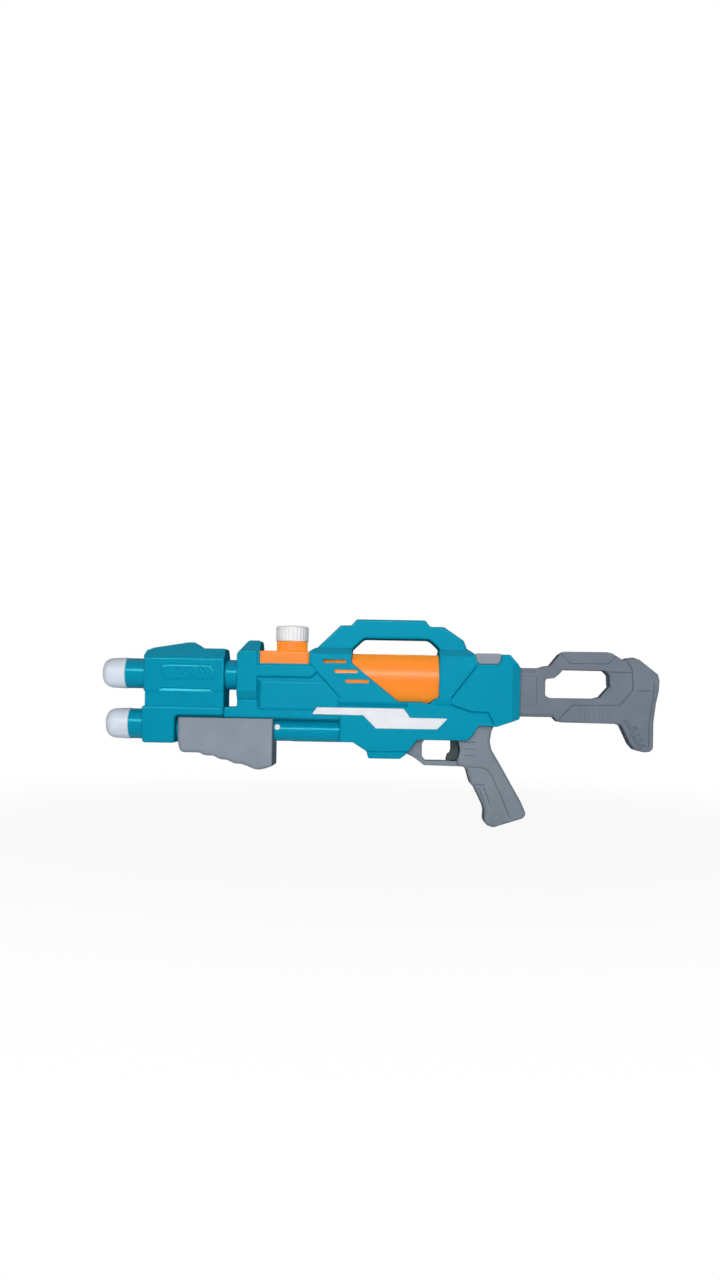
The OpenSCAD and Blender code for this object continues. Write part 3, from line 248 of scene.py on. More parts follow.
def mouldedFinish(name, look):
    # Cloudy colour from a slow noise, patchy gloss from a quicker one and a fine moulded grain as bump.
    span = finishNoise["span"]
    material = bpy.data.materials.new(name)
    material.use_nodes = True
    tree = material.node_tree
    shader = tree.nodes["Principled BSDF"]
    shader.inputs["Specular Tint"].default_value = (*look.get("tint", (1.0, 1.0, 1.0)), 1.0)
    shader.inputs["Metallic"].default_value = look.get("metal", 0.0)
    shader.inputs["Diffuse Roughness"].default_value = look.get("milky", 0.0)
    shader.inputs["Specular IOR Level"].default_value = look["specular"]
    place = tree.nodes.new("ShaderNodeTexCoord")

    def noise(scale, detail):
        node = tree.nodes.new("ShaderNodeTexNoise")
        node.inputs["Scale"].default_value = scale
        node.inputs["Detail"].default_value = detail
        tree.links.new(place.outputs["Object"], node.inputs["Vector"])
        return node.outputs["Fac"]

    cloud = tree.nodes.new("ShaderNodeValToRGB")
    dark, light = cloud.color_ramp.elements
    dark.position, light.position = span
    color = np.array(look["color"])
    dark.color = (*(color * (1.0 - look["shift"])), 1.0)
    light.color = (*np.minimum(color * (1.0 + look["shift"]), 1.0), 1.0)
    tree.links.new(noise(look["patch"], finishNoise["cloudDetail"]), cloud.inputs["Fac"])
    tree.links.new(cloud.outputs["Color"], shader.inputs["Base Color"])
    gloss = noise(look["patch"] * finishNoise["glossPace"], finishNoise["glossDetail"])
    tree.links.new(mapSpan(tree, gloss, span, look["rough"]), shader.inputs["Roughness"])
    # The sheen dies away where a face is seen edge on, as it does on a dull moulded skin.
    facing = tree.nodes.new("ShaderNodeLayerWeight").outputs["Facing"]
    sheen = mapSpan(tree, facing, finishNoise["sheenFade"], (look["specular"], 0.0))
    tree.links.new(sheen, shader.inputs["Specular IOR Level"])
    bump = tree.nodes.new("ShaderNodeBump")
    bump.inputs["Strength"].default_value = 1.0
    bump.inputs["Distance"].default_value = look["grainDepth"]
    tree.links.new(noise(look["grain"], finishNoise["grainDetail"]), bump.inputs["Height"])
    tree.links.new(bump.outputs["Normal"], shader.inputs["Normal"])
    return material


finishMaterials = {name: mouldedFinish(name, look) for name, look in finishes.items()}
print("stage: finishes are mixed")


# Outlines and solids

edgeShare = 0.48  # most of an edge that one arc may take
leastStep = 0.01  # points of an outline closer than this are one
mitreFloor = 0.35  # keeps a keen corner's step short


def arcCorners(corners, radius=0.0, steps=7):
    # Every corner gives way to an arc that touches both its edges, cut short where an edge is too
    # small for it; a third number on a corner is that corner's own radius. Runs anticlockwise.
    own = np.array([c[2] if len(c) > 2 else radius for c in corners], float)
    points = np.array([c[:2] for c in corners], float)
    after = np.roll(points, -1, 0)
    if np.sum(points[:, 0] * after[:, 1] - points[:, 1] * after[:, 0]) < 0:
        points, own = points[::-1], own[::-1]
    back = points - np.roll(points, 1, 0)
    ahead = np.roll(points, -1, 0) - points
    backLength = np.linalg.norm(back, axis=1)
    aheadLength = np.linalg.norm(ahead, axis=1)
    u = back / backLength[:, None]
    v = ahead / aheadLength[:, None]
    turn = np.arctan2(u[:, 0] * v[:, 1] - u[:, 1] * v[:, 0], np.sum(u * v, 1))
    half = np.maximum(np.tan(np.abs(turn) / 2), 1e-6)
    reach = np.minimum(own * half, edgeShare * np.minimum(backLength, aheadLength))
    side = np.sign(turn)[:, None] * np.stack([-u[:, 1], u[:, 0]], 1)
    start = points - u * reach[:, None]
    arm = -side * (reach / half)[:, None]
    centre = start - arm
    t = np.linspace(0.0, 1.0, steps)[None, :] * turn[:, None]
    x = centre[:, 0, None] + arm[:, 0, None] * np.cos(t) - arm[:, 1, None] * np.sin(t)
    z = centre[:, 1, None] + arm[:, 0, None] * np.sin(t) + arm[:, 1, None] * np.cos(t)
    loop = np.stack([x, z], -1).reshape(-1, 2)
    return loop[np.linalg.norm(loop - np.roll(loop, 1, 0), axis=1) > leastStep]


def inwardStep(loop):
    # The mitred step that moves each point of an anticlockwise loop one millimetre inwards.
    back = loop - np.roll(loop, 1, 0)
    ahead = np.roll(loop, -1, 0) - loop
    u = back / np.linalg.norm(back, axis=1)[:, None]
    v = ahead / np.linalg.norm(ahead, axis=1)[:, None]
    first = np.stack([-u[:, 1], u[:, 0]], 1)
    second = np.stack([-v[:, 1], v[:, 0]], 1)
    return (first + second) / np.maximum(1.0 + np.sum(first * second, 1), mitreFloor)[:, None]


def insetCorners(corners, distance):
    # The drawn outline moved inwards all round, before its corners are rounded.
    loop = arcCorners(corners, 0.0, 2)
    return [tuple(p) for p in loop + distance * inwardStep(loop)]


def solidFrom(verts, faces):
    # Puts the points into a mesh, merges doubles at seams and poles, and turns the faces outwards.
    mesh = bpy.data.meshes.new("work")
    mesh.from_pydata(np.asarray(verts, float).reshape(-1, 3).tolist(), [], faces)
    work = bmesh.new()
    work.from_mesh(mesh)
    bmesh.ops.remove_doubles(work, verts=work.verts, dist=1e-4)
    if work.calc_volume(signed=True) < 0:
        bmesh.ops.reverse_faces(work, faces=work.faces)
    work.to_mesh(mesh)
    work.free()
    tool = bpy.data.objects.new("work", mesh)
    scene.collection.objects.link(tool)
    return tool


def gridFaces(rings, around, closeRings=False):
    # Quads between neighbouring rings, wrapping round each ring, and back to the first if asked.
    k, i = np.meshgrid(np.arange(rings if closeRings else rings - 1), np.arange(around), indexing="ij")
    k2, i2 = (k + 1) % rings, (i + 1) % around
    quads = np.stack([k * around + i, k * around + i2, k2 * around + i2, k2 * around + i], -1)
    return quads.reshape(-1, 4).tolist()


def tubeSolid(rings):
    # Rings of equal count joined into a closed skin, with a flat cap on the first and the last.
    count, around = rings.shape[:2]
    faces = gridFaces(count, around)
    faces.append(list(range(around))[::-1])
    faces.append(list(range((count - 1) * around, count * around)))
    return solidFrom(rings, faces)


def layered(loop, inset, depth):
    # The loop carried outwards from the split line: ring k is moved in by inset k at y = -depth k.
    inset, depth = np.asarray(inset, float), np.asarray(depth, float)
    rings = loop[None] + inset[:, None, None] * inwardStep(loop)[None]
    y = np.broadcast_to(-depth[:, None], rings.shape[:2])
    return tubeSolid(np.stack([rings[..., 0], y, rings[..., 1]], -1))


def quarter(edge, steps=6):
    # A quarter circle as how far in and how far out each of its points lies.
    angle = np.linspace(0.0, np.pi / 2, steps + 1)
    return edge * (1.0 - np.cos(angle)), edge * np.sin(angle)


def plate(corners, half, edge, radius, inner=-2.0, spread=1.0):
    # An outline with a straight wall up to the edge rounding, then a flat outer face at y = -half;
    # the rounding is a quarter ellipse, "spread" times as wide as it is high.
    into, out = quarter(edge)
    return layered(arcCorners(corners, radius), np.r_[0.0, spread * into], np.r_[inner, half - edge + out])


def slab(corners, half, edge, radius):
    # A plate that is rounded alike on both sides of the split line.
    into, out = quarter(edge)
    return layered(arcCorners(corners, radius), np.r_[into[::-1], into],
                   np.r_[-(half - edge + out)[::-1], half - edge + out])


def pocket(corners, floor, top, radius, draft):
    # A cutter with a flat floor at y = -floor whose walls lean out as they rise to y = -top.
    return layered(arcCorners(corners, radius), [0.0, -draft * (top - floor)], [floor, top])


def opening(corners, half, edge, radius, inner=-3.0):
    # A cutter for a hole with a rounded rim: straight through, then flaring along a quarter circle.
    into, out = quarter(edge)
    above = half + 2.0
    return layered(arcCorners(corners, radius), np.r_[0.0, -into, -edge],
                   np.r_[inner, half - edge + out, above])


def groove(path, radius, centre, stretch=1.0, sides=24, steps=6):
    # A round bar laid along a bent line at y = -centre; near its ends the radius follows a half sphere.
    # "stretch" makes its section that many times as deep as it is wide; with four sides it is a keen V.
    path = np.asarray(path, float)
    along = np.gradient(path, axis=0)
    along /= np.linalg.norm(along, axis=1)[:, None]
    angle = np.linspace(0.1, np.pi / 2, steps)
    first = path[0] - radius * np.cos(angle)[:, None] * along[0]
    last = path[-1] + radius * np.cos(angle[::-1])[:, None] * along[-1]
    middle = np.r_[first, path[1:-1], last]
    heading = np.r_[np.repeat(along[:1], steps, 0), along[1:-1], np.repeat(along[-1:], steps, 0)]
    size = radius * np.r_[np.sin(angle), np.ones(len(path) - 2), np.sin(angle[::-1])]
    across = np.stack([-heading[:, 1], heading[:, 0]], 1)
    spin = np.linspace(0.0, 2 * np.pi, sides, endpoint=False)
    xz = middle[:, None] + size[:, None, None] * np.cos(spin)[None, :, None] * across[:, None]
    y = -centre + stretch * size[:, None] * np.sin(spin)
    return tubeSolid(np.stack([xz[..., 0], y, xz[..., 1]], -1))


def ramp(low, high, section, axis=0):
    # A straight cutter from low to high along one axis; its section is drawn in the other two.
    section = np.asarray(section, float)
    return tubeSolid(np.stack([np.insert(section, axis, place, axis=1) for place in (low, high)]))


def slopeCutter(start, end, side, run, half, soft):
    # A straight slope along one edge: it starts "side" below the outer face, ends "run" in from
    # the edge, and meets wall and face in arcs of radius "soft".
    skin, clear, past = 0.02, 8, 3.0
    far = run + 25.0
    profile = arcCorners([(-skin, 0), (-clear, 0), (-clear, half + clear), (far, half + clear),
                          (far, half + skin), (run, half + skin, soft), (-skin, half - side, soft)])
    start, end = np.array(start, float), np.array(end, float)
    along = (end - start) / np.linalg.norm(end - start)
    inward = np.array([-along[1], along[0]])
    ends = np.stack([start - past * along, end + past * along])
    xz = ends[:, None] + profile[None, :, :1] * inward
    y = np.broadcast_to(-profile[None, :, 1], xz.shape[:2])
    return tubeSolid(np.stack([xz[..., 0], y, xz[..., 1]], -1))


axes = {"x": (0, 1, 2), "y": (1, 2, 0), "z": (2, 0, 1)}


def turned(profile, axis, centre, steps=96, closed=False):
    # A profile of (radius, height) points spun about an axis; a closed profile makes a ring.
    profile = np.asarray(profile, float)
    angle = np.linspace(0.0, 2 * np.pi, steps, endpoint=False)
    rings = np.zeros((len(profile), steps, 3))
    along, first, second = axes[axis]
    rings[..., along] = profile[:, 1, None]
    rings[..., first] = profile[:, 0, None] * np.cos(angle)
    rings[..., second] = profile[:, 0, None] * np.sin(angle)
    rings += np.asarray(centre, float)
    if closed:
        return solidFrom(rings, gridFaces(len(profile), steps, True))
    return tubeSolid(rings)


def rod(radius, low, high, axis, centre, steps=96):
    # A round bar from low to high along its axis.
    return turned([(radius, low), (radius, high)], axis, centre, steps)


def xBores(bores):
    # Round cutters along x on the split line, each given as radius, start, end and height.
    return [rod(radius, low, high, "x", (0, 0, z)) for radius, low, high, z in bores]


def block(low, high):
    # A sharp cornered cutter between two corners.
    (x0, y0, z0), (x1, y1, z1) = low, high
    ring = np.array([(x0, z0), (x1, z0), (x1, z1), (x0, z1)], float)
    return layered(ring, [0.0, 0.0], [-y1, -y0])


def carve(base, tool, how):
    # One closed shape joined to, or taken from, another; the tool is used up.
    step = base.modifiers.new("carve", "BOOLEAN")
    step.operation = how
    step.solver = "MANIFOLD"
    step.object = tool
    shape = bpy.data.meshes.new_from_object(base.evaluated_get(bpy.context.evaluated_depsgraph_get()))
    base.modifiers.clear()
    if not len(shape.polygons):
        raise RuntimeError("a carving step left nothing")
    old, base.data = base.data, shape
    bpy.data.meshes.remove(old)
    used = tool.data
    bpy.data.objects.remove(tool)
    bpy.data.meshes.remove(used)


def joinAll(base, *tools):
    # The base and every tool as one shape.
    for tool in tools:
        carve(base, tool, "UNION")
    return base


def cutAll(base, *tools):
    # The base less every tool.
    for tool in tools:
        carve(base, tool, "DIFFERENCE")
    return base


def meshPoints(mesh):
    # All points of a mesh, one row each.
    points = np.zeros(len(mesh.vertices) * 3, np.float32)
    mesh.vertices.foreach_get("co", points)
    return points.reshape(-1, 3)


def mirrored(tool):
    # The same shape on the other side of the split line, with its faces turned outwards again.
    twin = bpy.data.objects.new("work", tool.data.copy())
    scene.collection.objects.link(twin)
    points = meshPoints(twin.data) * np.array([1.0, -1.0, 1.0], np.float32)
    twin.data.vertices.foreach_set("co", points.ravel())
    twin.data.flip_normals()
    return twin


mergeDistance = 0.004  # slivers from the carving go below this


def finishPiece(tool, name, body, finish, nodes, sharpDegrees=25.0):
    # Cleans the mesh, brings it into the frame in metres, shades it and hands it to its body.
    mesh = tool.data
    work = bmesh.new()
    work.from_mesh(mesh)
    bmesh.ops.remove_doubles(work, verts=work.verts, dist=mergeDistance)
    bmesh.ops.dissolve_degenerate(work, edges=work.edges, dist=mergeDistance)
    work.to_mesh(mesh)
    work.free()
    points = meshPoints(mesh) * millimetre + np.array([cadLow.x, 0.0, cadLow.z], np.float32)
    mesh.vertices.foreach_set("co", points.astype(np.float32).ravel())
    mesh.polygons.foreach_set("use_smooth", np.ones(len(mesh.polygons), bool))
    mesh.set_sharp_from_angle(angle=math.radians(sharpDegrees))
    mesh.materials.clear()
    mesh.materials.append(finishMaterials[finish])
    mesh.update()
    mesh.name = tool.name = name
    shading = tool.modifiers.new("evenShading", "WEIGHTED_NORMAL")
    shading.keep_sharp = True
    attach(tool, body)
    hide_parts(*nodes)


# Half shells: plates joined, hollowed, panelled and cut flat on the split line

wall = 2.4
splitGap = 0.08
screwSeat = 8.0
wellRadius, wellPast = 3.3, 4.0
postRadius, postPast = 4.6, 1.0
raisedRoot = 6.0  # how deep a raised panel reaches into the shell
roomEdge, roomSoft, roomInner = 0.6, 0.5, -4.0  # of the hollows
proud = 36.0  # clear of every shell


def halfShell(shape):
    # Left half of a moulded housing. Each row names an outline or lines of the same dictionary:
    # plates: half width, edge rounding, corner radius; slopes: start, end, drop, run, softness
    # sunk: floor, top, corner radius, draft; openings: as plates; raised: as plates, then the spread
    # grooves: radius, centre, stretch, sides; hollows: half width, corner radius, slopes followed
    shell = None
    slopes = shape.get("slopes", {})
    for name, half, edge, radius in shape["plates"]:
        part = plate(shape[name], half, edge, radius)
        for start, end, side, run, soft in slopes.get(name, []):
            cutAll(part, slopeCutter(start, end, side, run, half, soft))
        shell = part if shell is None else joinAll(shell, part)
    for name, floor, top, radius, draft in shape.get("sunk", []):
        cutAll(shell, pocket(shape[name], floor, top, radius, draft))
    for name, half, edge, radius, spread in shape.get("raised", []):
        joinAll(shell, plate(shape[name], half, edge, radius, half - raisedRoot, spread))
    for name, half, edge, radius in shape.get("openings", []):
        cutAll(shell, opening(shape[name], half, edge, radius))
    for name, radius, centre, stretch, sides in shape.get("grooves", []):
        cutAll(shell, *[groove(line, radius, centre, stretch, sides) for line in shape[name]])
    for name, half, radius, followed in shape.get("hollows", []):
        room = plate(insetCorners(shape[name], wall), half - wall, roomEdge, radius, roomInner)
        for start, end, side, run, _ in slopes.get(name, [])[:followed]:
            cutAll(room, slopeCutter(start, end, side, run, half - wall, roomSoft))
        cutAll(shell, room)
    if "postInset" in shape:
        for x, z, half in shape["posts"]:
            joinAll(shell, rod(postRadius, shape["postInset"] - half, postPast, "y", (x, 0, z), 32))
    return shell


def splitShells(shell, cuts, posts):
    # Cuts what goes through both halves, trims the split face, and gives the right half its wells.
    cutAll(shell, *cuts, block((-50, -splitGap, -50), (800, 60, 400)))
    right = mirrored(shell)
    for x, z, half in posts:
        cutAll(right, rod(wellRadius, screwSeat, half + wellPast, "y", (x, 0, z), 32))
    return shell, right


def finishPair(pair, name, body, finish, node):
    # The two halves, each named for its side.
    for tool, side in zip(pair, ("Left", "Right")):
        finishPiece(tool, name + side, body, finish, [node + "_" + side.lower()])


# Body

bodyShape = {
    "side": [(310, 107.5), (327, 107.5), (344.5, 96.5), (347, 87.5), (387, 87.5), (395, 93.5),
             (408.5, 112), (472, 112), (478, 118), (487, 131.5), (509, 130), (539.2, 140.5),
             (539.2, 206.3), (525, 222.2), (480, 222), (474, 227), (435.2, 227), (435.2, 165.5),
             (430, 164.5), (424, 158.4), (419, 158.2), (414, 160.2), (384, 160.2), (324, 208.5),
             (324, 227), (277, 227), (270, 222), (270, 205), (307, 165), (307, 150), (310, 148)],
    "handle": [(273, 205), (323.5, 205), (323.5, 225.5, 6), (339, 240.3, 8), (423, 240.3, 12),
               (435.8, 228.5, 8), (435.8, 205), (480, 205), (480, 222), (470.5, 229.5), (466.5, 239.5),
               (441, 256.5), (423.5, 256.5), (417, 264.5), (329.5, 264.5), (322.5, 256.7), (309, 256.3),
               (277.5, 225.5)],
    "front": [(204, 150), (318, 150), (318, 205), (300, 222), (181, 222), (178, 218), (178, 175),
              (204, 175)],
    "rail": [(161.5, 136), (322, 136), (322, 160), (178.1, 160), (178.1, 150), (161.5, 150)],
    "railWeb": [(161.6, 133.8), (312, 133.8), (312, 139), (161.6, 139)],
    "collar": [(178, 153.6), (204.5, 153.6), (204.5, 222), (182, 222), (178, 217)],
    "rib": [(202, 189.5), (272, 189.5), (279, 196), (279, 204), (202, 204)],
    "pad": [(279, 144), (314, 144), (314, 150), (283, 150)],
    "hump": [(180.5, 212), (206.7, 212), (206.7, 235.6), (191, 235.6, 5), (180.5, 221)],
    "plates": [("side", 34.0, 2.0, 2.6), ("handle", 24.0, 3.0, 4.2), ("front", 30.0, 1.6, 3.0),
               ("rail", 26.0, 2.6, 3.2), ("railWeb", 3.0, 0.3, 0.4), ("collar", 32.5, 2.2, 2.6),
               ("rib", 32.3, 1.6, 3.0), ("pad", 32.4, 1.0, 1.4), ("hump", 31.0, 2.0, 3.0)],
    "slopes": {
        "side": [((539.2, 140.5), (539.2, 206.3), 8.0, 12.6, 2.0), ((324, 227), (277, 227), 8.0, 8.0, 0.8),
                 ((474, 227), (435.2, 227), 8.0, 8.0, 0.8), ((270, 205), (307, 165), 3.2, 2.8, 1.0)],
        "collar": [((178, 153.6), (204.5, 153.6), 14.0, 16.6, 1.5)],
        "hump": [((206.7, 235.6), (178, 235.6), 17.0, 15.5, 2.0)],
    },
    "rearPanel": [(452, 156), (475, 148.5), (498, 147.5), (505, 134), (509, 126), (545, 136),
                  (545, 212), (530, 230), (484, 230), (484, 209), (452, 166.5)],
    "sunk": [("rearPanel", 32.8, proud, 2.0, 0.35)],
    "lowPanel": [(204.2, 148), (316, 148), (306, 183.6), (204.2, 183.6)],
    "raised": [("lowPanel", 31.2, 1.2, 2.6, 2.0)],
    "chinLine": [[(338, 96.6), (400, 96.6)]],
    "ribLine": [[(206, 188.6), (273, 188.6), (280.4, 195.5)]],
    "rearLines": [[(452, 167), (481.8, 206.1)], [(452, 156.5), (475, 149), (498, 148), (505, 134.5)]],
    "grooves": [("chinLine", 0.8, 34.0, 1.6, 4), ("ribLine", 1.1, 30.1, 1.6, 4),
                ("rearLines", 1.7, 33.3, 1.5, 4)],
    "hollows": [("side", 31.6, 1.0, 4), ("handle", 24.0, 1.4, 0), ("front", 28.2, 1.0, 0)],
    "posts": [(360, 96, 34), (453.5, 185, 34), (521, 213.4, 32.8), (516, 138, 32.8),
              (176.4, 144, 26), (315, 240, 24), (446, 242, 24)],
    "postInset": 1.0,
    # tank neck, tank, upper barrel and guide tube
    "bores": [(27.4, 204.5, 300.5, 190), (31.4, 299.6, 447.5, 190), (19.5, 150, 206, 191),
              (14.15, 300, 326.4, 120)],
    # tank saddle, stock bar and trigger
    "gaps": [((206.6, -60, 206.2), (269.9, 60, 260)), ((483, -12.5, 143.0), (545, 12.5, 206.8)),
             ((438, -5.6, 100), (469, 5.6, 122))],
    # along x above the trim and behind the tank, and along z behind the collar
    "ramps": [(309, 396, [(-37, 152.4), (-29.8, 152.4), (-29.8, 153.2), (-34.05, 159), (-37, 159)]),
              (429.5, 451, [(-37, 156.2), (-30.4, 156.2), (-30.4, 157), (-34.05, 165.2), (-37, 165.2)]),
              (150.4, 183.4, [(204.4, -26.9), (209.4, -31.25), (209.4, -36), (204.4, -36)], 2)],
    "button": [(485.6, 209.5), (509.8, 209.5), (513.5, 214.4), (514.6, 223.3), (480.3, 223.3),
               (483, 212.6)],
    "buttonPlay": 0.4, "buttonTravel": 3.2, "buttonLip": 31.7, "buttonRadius": 2.4,
    "trim": [(275, 142.4), (339.5, 142.2), (356, 125.8), (433.5, 125.8), (447, 139.8), (399, 140),
             (391, 151.4), (281, 151.4)],
    "trimPlay": 0.15, "trimFloor": 32.5,
    "slits": [(302.3, 210.0), (316.8, 197.5), (331.3, 185.0)],
    "slitSize": (12.8, 2.2), "slitRound": 2.15, "slitFloor": 20.0,
}


def slitBox(x, z, halfLength, radius):
    # The box round a slit; rounding its corners makes each end a half circle.
    box = np.array([(-1, -1), (1, -1), (1, 1), (-1, 1)]) * (halfLength + radius, radius)
    return [tuple(p) for p in box + (x, z)]


def buildBody(shape):
    # The button's opening is cut twice: as it shows, and lower down behind a lip for its travel.
    well = insetCorners(shape["button"], -shape["buttonPlay"])
    lowered = [(x, z - shape["buttonTravel"]) for x, z in well]
    cuts = xBores(shape["bores"]) + [block(*gap) for gap in shape["gaps"]] + [
        slab(well, 50.0, 0.2, shape["buttonRadius"]),
        slab(lowered, shape["buttonLip"], 0.2, shape["buttonRadius"]),
        pocket(insetCorners(shape["trim"], -shape["trimPlay"]), shape["trimFloor"], proud, 0.6, 0.0),
    ]
    cuts += [ramp(*row) for row in shape["ramps"]]
    cuts += [pocket(slitBox(x, z, *shape["slitSize"]), shape["slitFloor"], proud, shape["slitRound"], 0.0)
             for x, z in shape["slits"]]
    pair = splitShells(halfShell(shape), cuts, shape["posts"])
    finishPair(pair, "bodyShell", "frame", "tealGloss", "body_shell")


buildBody(bodyShape)
print("stage: body shells")


# Side trims and the latch button

trimShape = {"inner": 32.5, "outer": 35.0, "edge": 0.6, "radius": 0.8, "rim": 2.2, "sunk": 0.8,
             "sunkRadius": 0.8, "sunkDraft": 0.15}


def buildTrims(shape):
    # A thin plate whose middle lies a little below its rim.
    left = plate(bodyShape["trim"], shape["outer"], shape["edge"], shape["radius"], inner=shape["inner"])
    middle = insetCorners(bodyShape["trim"], shape["rim"])
    cutAll(left, pocket(middle, shape["outer"] - shape["sunk"], shape["outer"] + 2.0,
                        shape["sunkRadius"], shape["sunkDraft"]))
    finishPair((left, mirrored(left)), "sideTrim", "frame", "whiteTrim", "side_trim")


buttonShape = {"half": 31.5, "edge": 1.6, "radius": 2.4}

buildTrims(trimShape)
finishPiece(slab(bodyShape["button"], buttonShape["half"], buttonShape["edge"], buttonShape["radius"]),
            "stockButton", "button", "greySatin", ["stock_button"])
print("stage: trims and latch button")


# Nose

noseShape = {
    "upper": [(58.5, 168.2), (77.5, 168.2), (82, 172), (143, 171.4), (147.5, 168.6), (161.5, 168.6),
              (161.5, 224.4), (131.5, 224.4), (119, 232.2), (111.5, 232), (69, 224.2), (60.8, 220.5),
              (58.5, 213)],
    "waist": [(60.5, 144), (161.3, 144), (161.3, 178), (60.5, 178)],
    "lower": [(58.5, 102.5), (99.5, 102.5), (99.5, 138), (161.5, 138), (161.5, 150.2), (56.5, 150.2, 5),
              (56.5, 112)],
    "web": [(100, 133.8), (161.4, 133.8), (161.4, 141), (100, 141)],
    "plates": [("upper", 27.0, 2.2, 2.4), ("waist", 25.6, 1.6, 2.0), ("lower", 27.0, 3.6, 3.8),
               ("web", 3.0, 0.3, 0.4)],
    "slopes": {
        "upper": [((161.5, 233), (62, 233), 22.0, 22.0, 5.0), ((58.5, 224), (58.5, 160), 2.6, 2.6, 2.5)],
        "waist": [((161.3, 178), (60.5, 178), 1.9, 9.0, 2.0)],
    },
    "panel": [(86.8, 183.4), (150.4, 184.4), (150.2, 195.2), (144.7, 203.3), (92, 203.8), (77.4, 200.8)],
    "raised": [("panel", 28.5, 1.5, 4.0, 2.6)],
    "marks": [((132, 162.4), (135.8, 159)), ((137, 162.4), (140.8, 159)), ((105.6, 164.7), (110, 164.7))],
    "slits": [((x - 2.6, 199.0), (x + 2.6, 191.4)) for x in (105.0, 119.6, 134.2)],
    "grooves": [("marks", 1.1, 25.9, 1.0, 24), ("slits", 1.9, 29.0, 1.0, 24)],
    "hollows": [("upper", 25.6, 1.0, 1), ("waist", 24.2, 1.0, 0), ("lower", 25.6, 1.0, 0)],
    "posts": [(143.5, 146, 25.8), (143.5, 214.6, 20), (92, 151.5, 25.8)],
    "postInset": 4.0,
    # upper barrel, lower barrel and guide tube
    "bores": [(19.5, 40, 175, 191), (19.5, 40, 88.3, 126), (14.15, 93.9, 106, 120)],
}


def buildNose(shape):
    # An upper block with a sloped roof and a lower block, joined by a waist that leans back.
    pair = splitShells(halfShell(shape), xBores(shape["bores"]), shape["posts"])
    finishPair(pair, "noseShell", "frame", "tealGloss", "nose_shell")


buildNose(noseShape)
print("stage: nose shells")


# Barrels and nozzle tips

barrelShape = {"radius": 19.4, "wall": 2.4, "rim": 0.5, "upper": (33.0, 184.0, 191.0),
               "lower": (38.0, 88.0, 126.0)}


def thinTube(shape, low, high, height, steps):
    # The section goes once round the inner and the outer skin and is spun about the tube's axis.
    radius, rim = shape["radius"], shape["rim"]
    inside = radius - shape["wall"]
    profile = [(inside, low), (radius - rim, low), (radius, low + rim), (radius, high - rim),
               (radius - rim, high), (inside, high)]
    return turned(profile, "x", (0, 0, height), steps, True)


tipShape = {"length": 31.0, "back": 20.0, "front": 19.2, "flat": 5.5, "round": 15.0, "square": 0.85,
            "jet": 1.5, "flare": 1.2, "pit": 14.0, "rim": 0.7, "upper": (2.0, 191.0), "lower": (7.0, 126.0)}


def buildTip(name, node, place, shape):
    # From the jet hole out along a flat face, round a squarish quarter ellipse and back along a slight taper.
    start, height = place
    angle = np.linspace(0.0, np.pi / 2, 25)
    nose = np.stack([shape["flat"] + (shape["front"] - shape["flat"]) * np.sin(angle) ** shape["square"],
                     shape["round"] * (1 - np.maximum(np.cos(angle), 0.0) ** shape["square"])], 1)
    jet, back, end = shape["jet"], shape["back"], shape["length"]
    hole = [(0, shape["pit"]), (jet, shape["pit"]), (jet, shape["flare"]), (jet + shape["flare"], 0)]
    rim = [(back, end - shape["rim"]), (back - shape["rim"], end), (0, end)]
    profile = np.r_[hole, nose, rim] + (0.0, start)
    finishPiece(turned(profile, "x", (0, 0, height), 144), name, "frame", "paleNozzle", [node])


for level in ("upper", "lower"):
    finishPiece(thinTube(barrelShape, *barrelShape[level], 144), level + "Barrel", "frame",
                "tealGloss", [level + "_barrel"])
for level in ("upper", "lower"):
    buildTip(level + "NozzleTip", level + "_nozzle_tip", tipShape[level], tipShape)
print("stage: barrels and nozzle tips")


# Tank and cap

tankShape = {
    "axis": 190.0, "front": 206.0, "back": 446.0, "neck": 27.0, "radius": 31.0, "end": 4.0,
    "shoulder": (299.5, 304.5),
    "saddle": [(190, 190), (269.5, 190), (269.5, 222.5), (190, 222.5)], "saddleFront": 206.9,
    "saddleHalf": 26.5, "saddleEdge": 3.6, "saddleRadius": 4.5,
    "fillerAt": 245.5, "filler": 20.0, "fillerRoot": 215.0, "fillerBase": 222.5, "fillerTop": 235.0,
    "fillerRim": 0.6, "fillet": 2.6, "mouth": 14.5,
    "spout": 16.7, "spoutRoot": 3.0, "spoutTop": 251.8,
    "threadPitch": 3.0, "threadDepth": 0.28, "threadShare": 0.22, "threadFade": (1.0, 1.5),
}


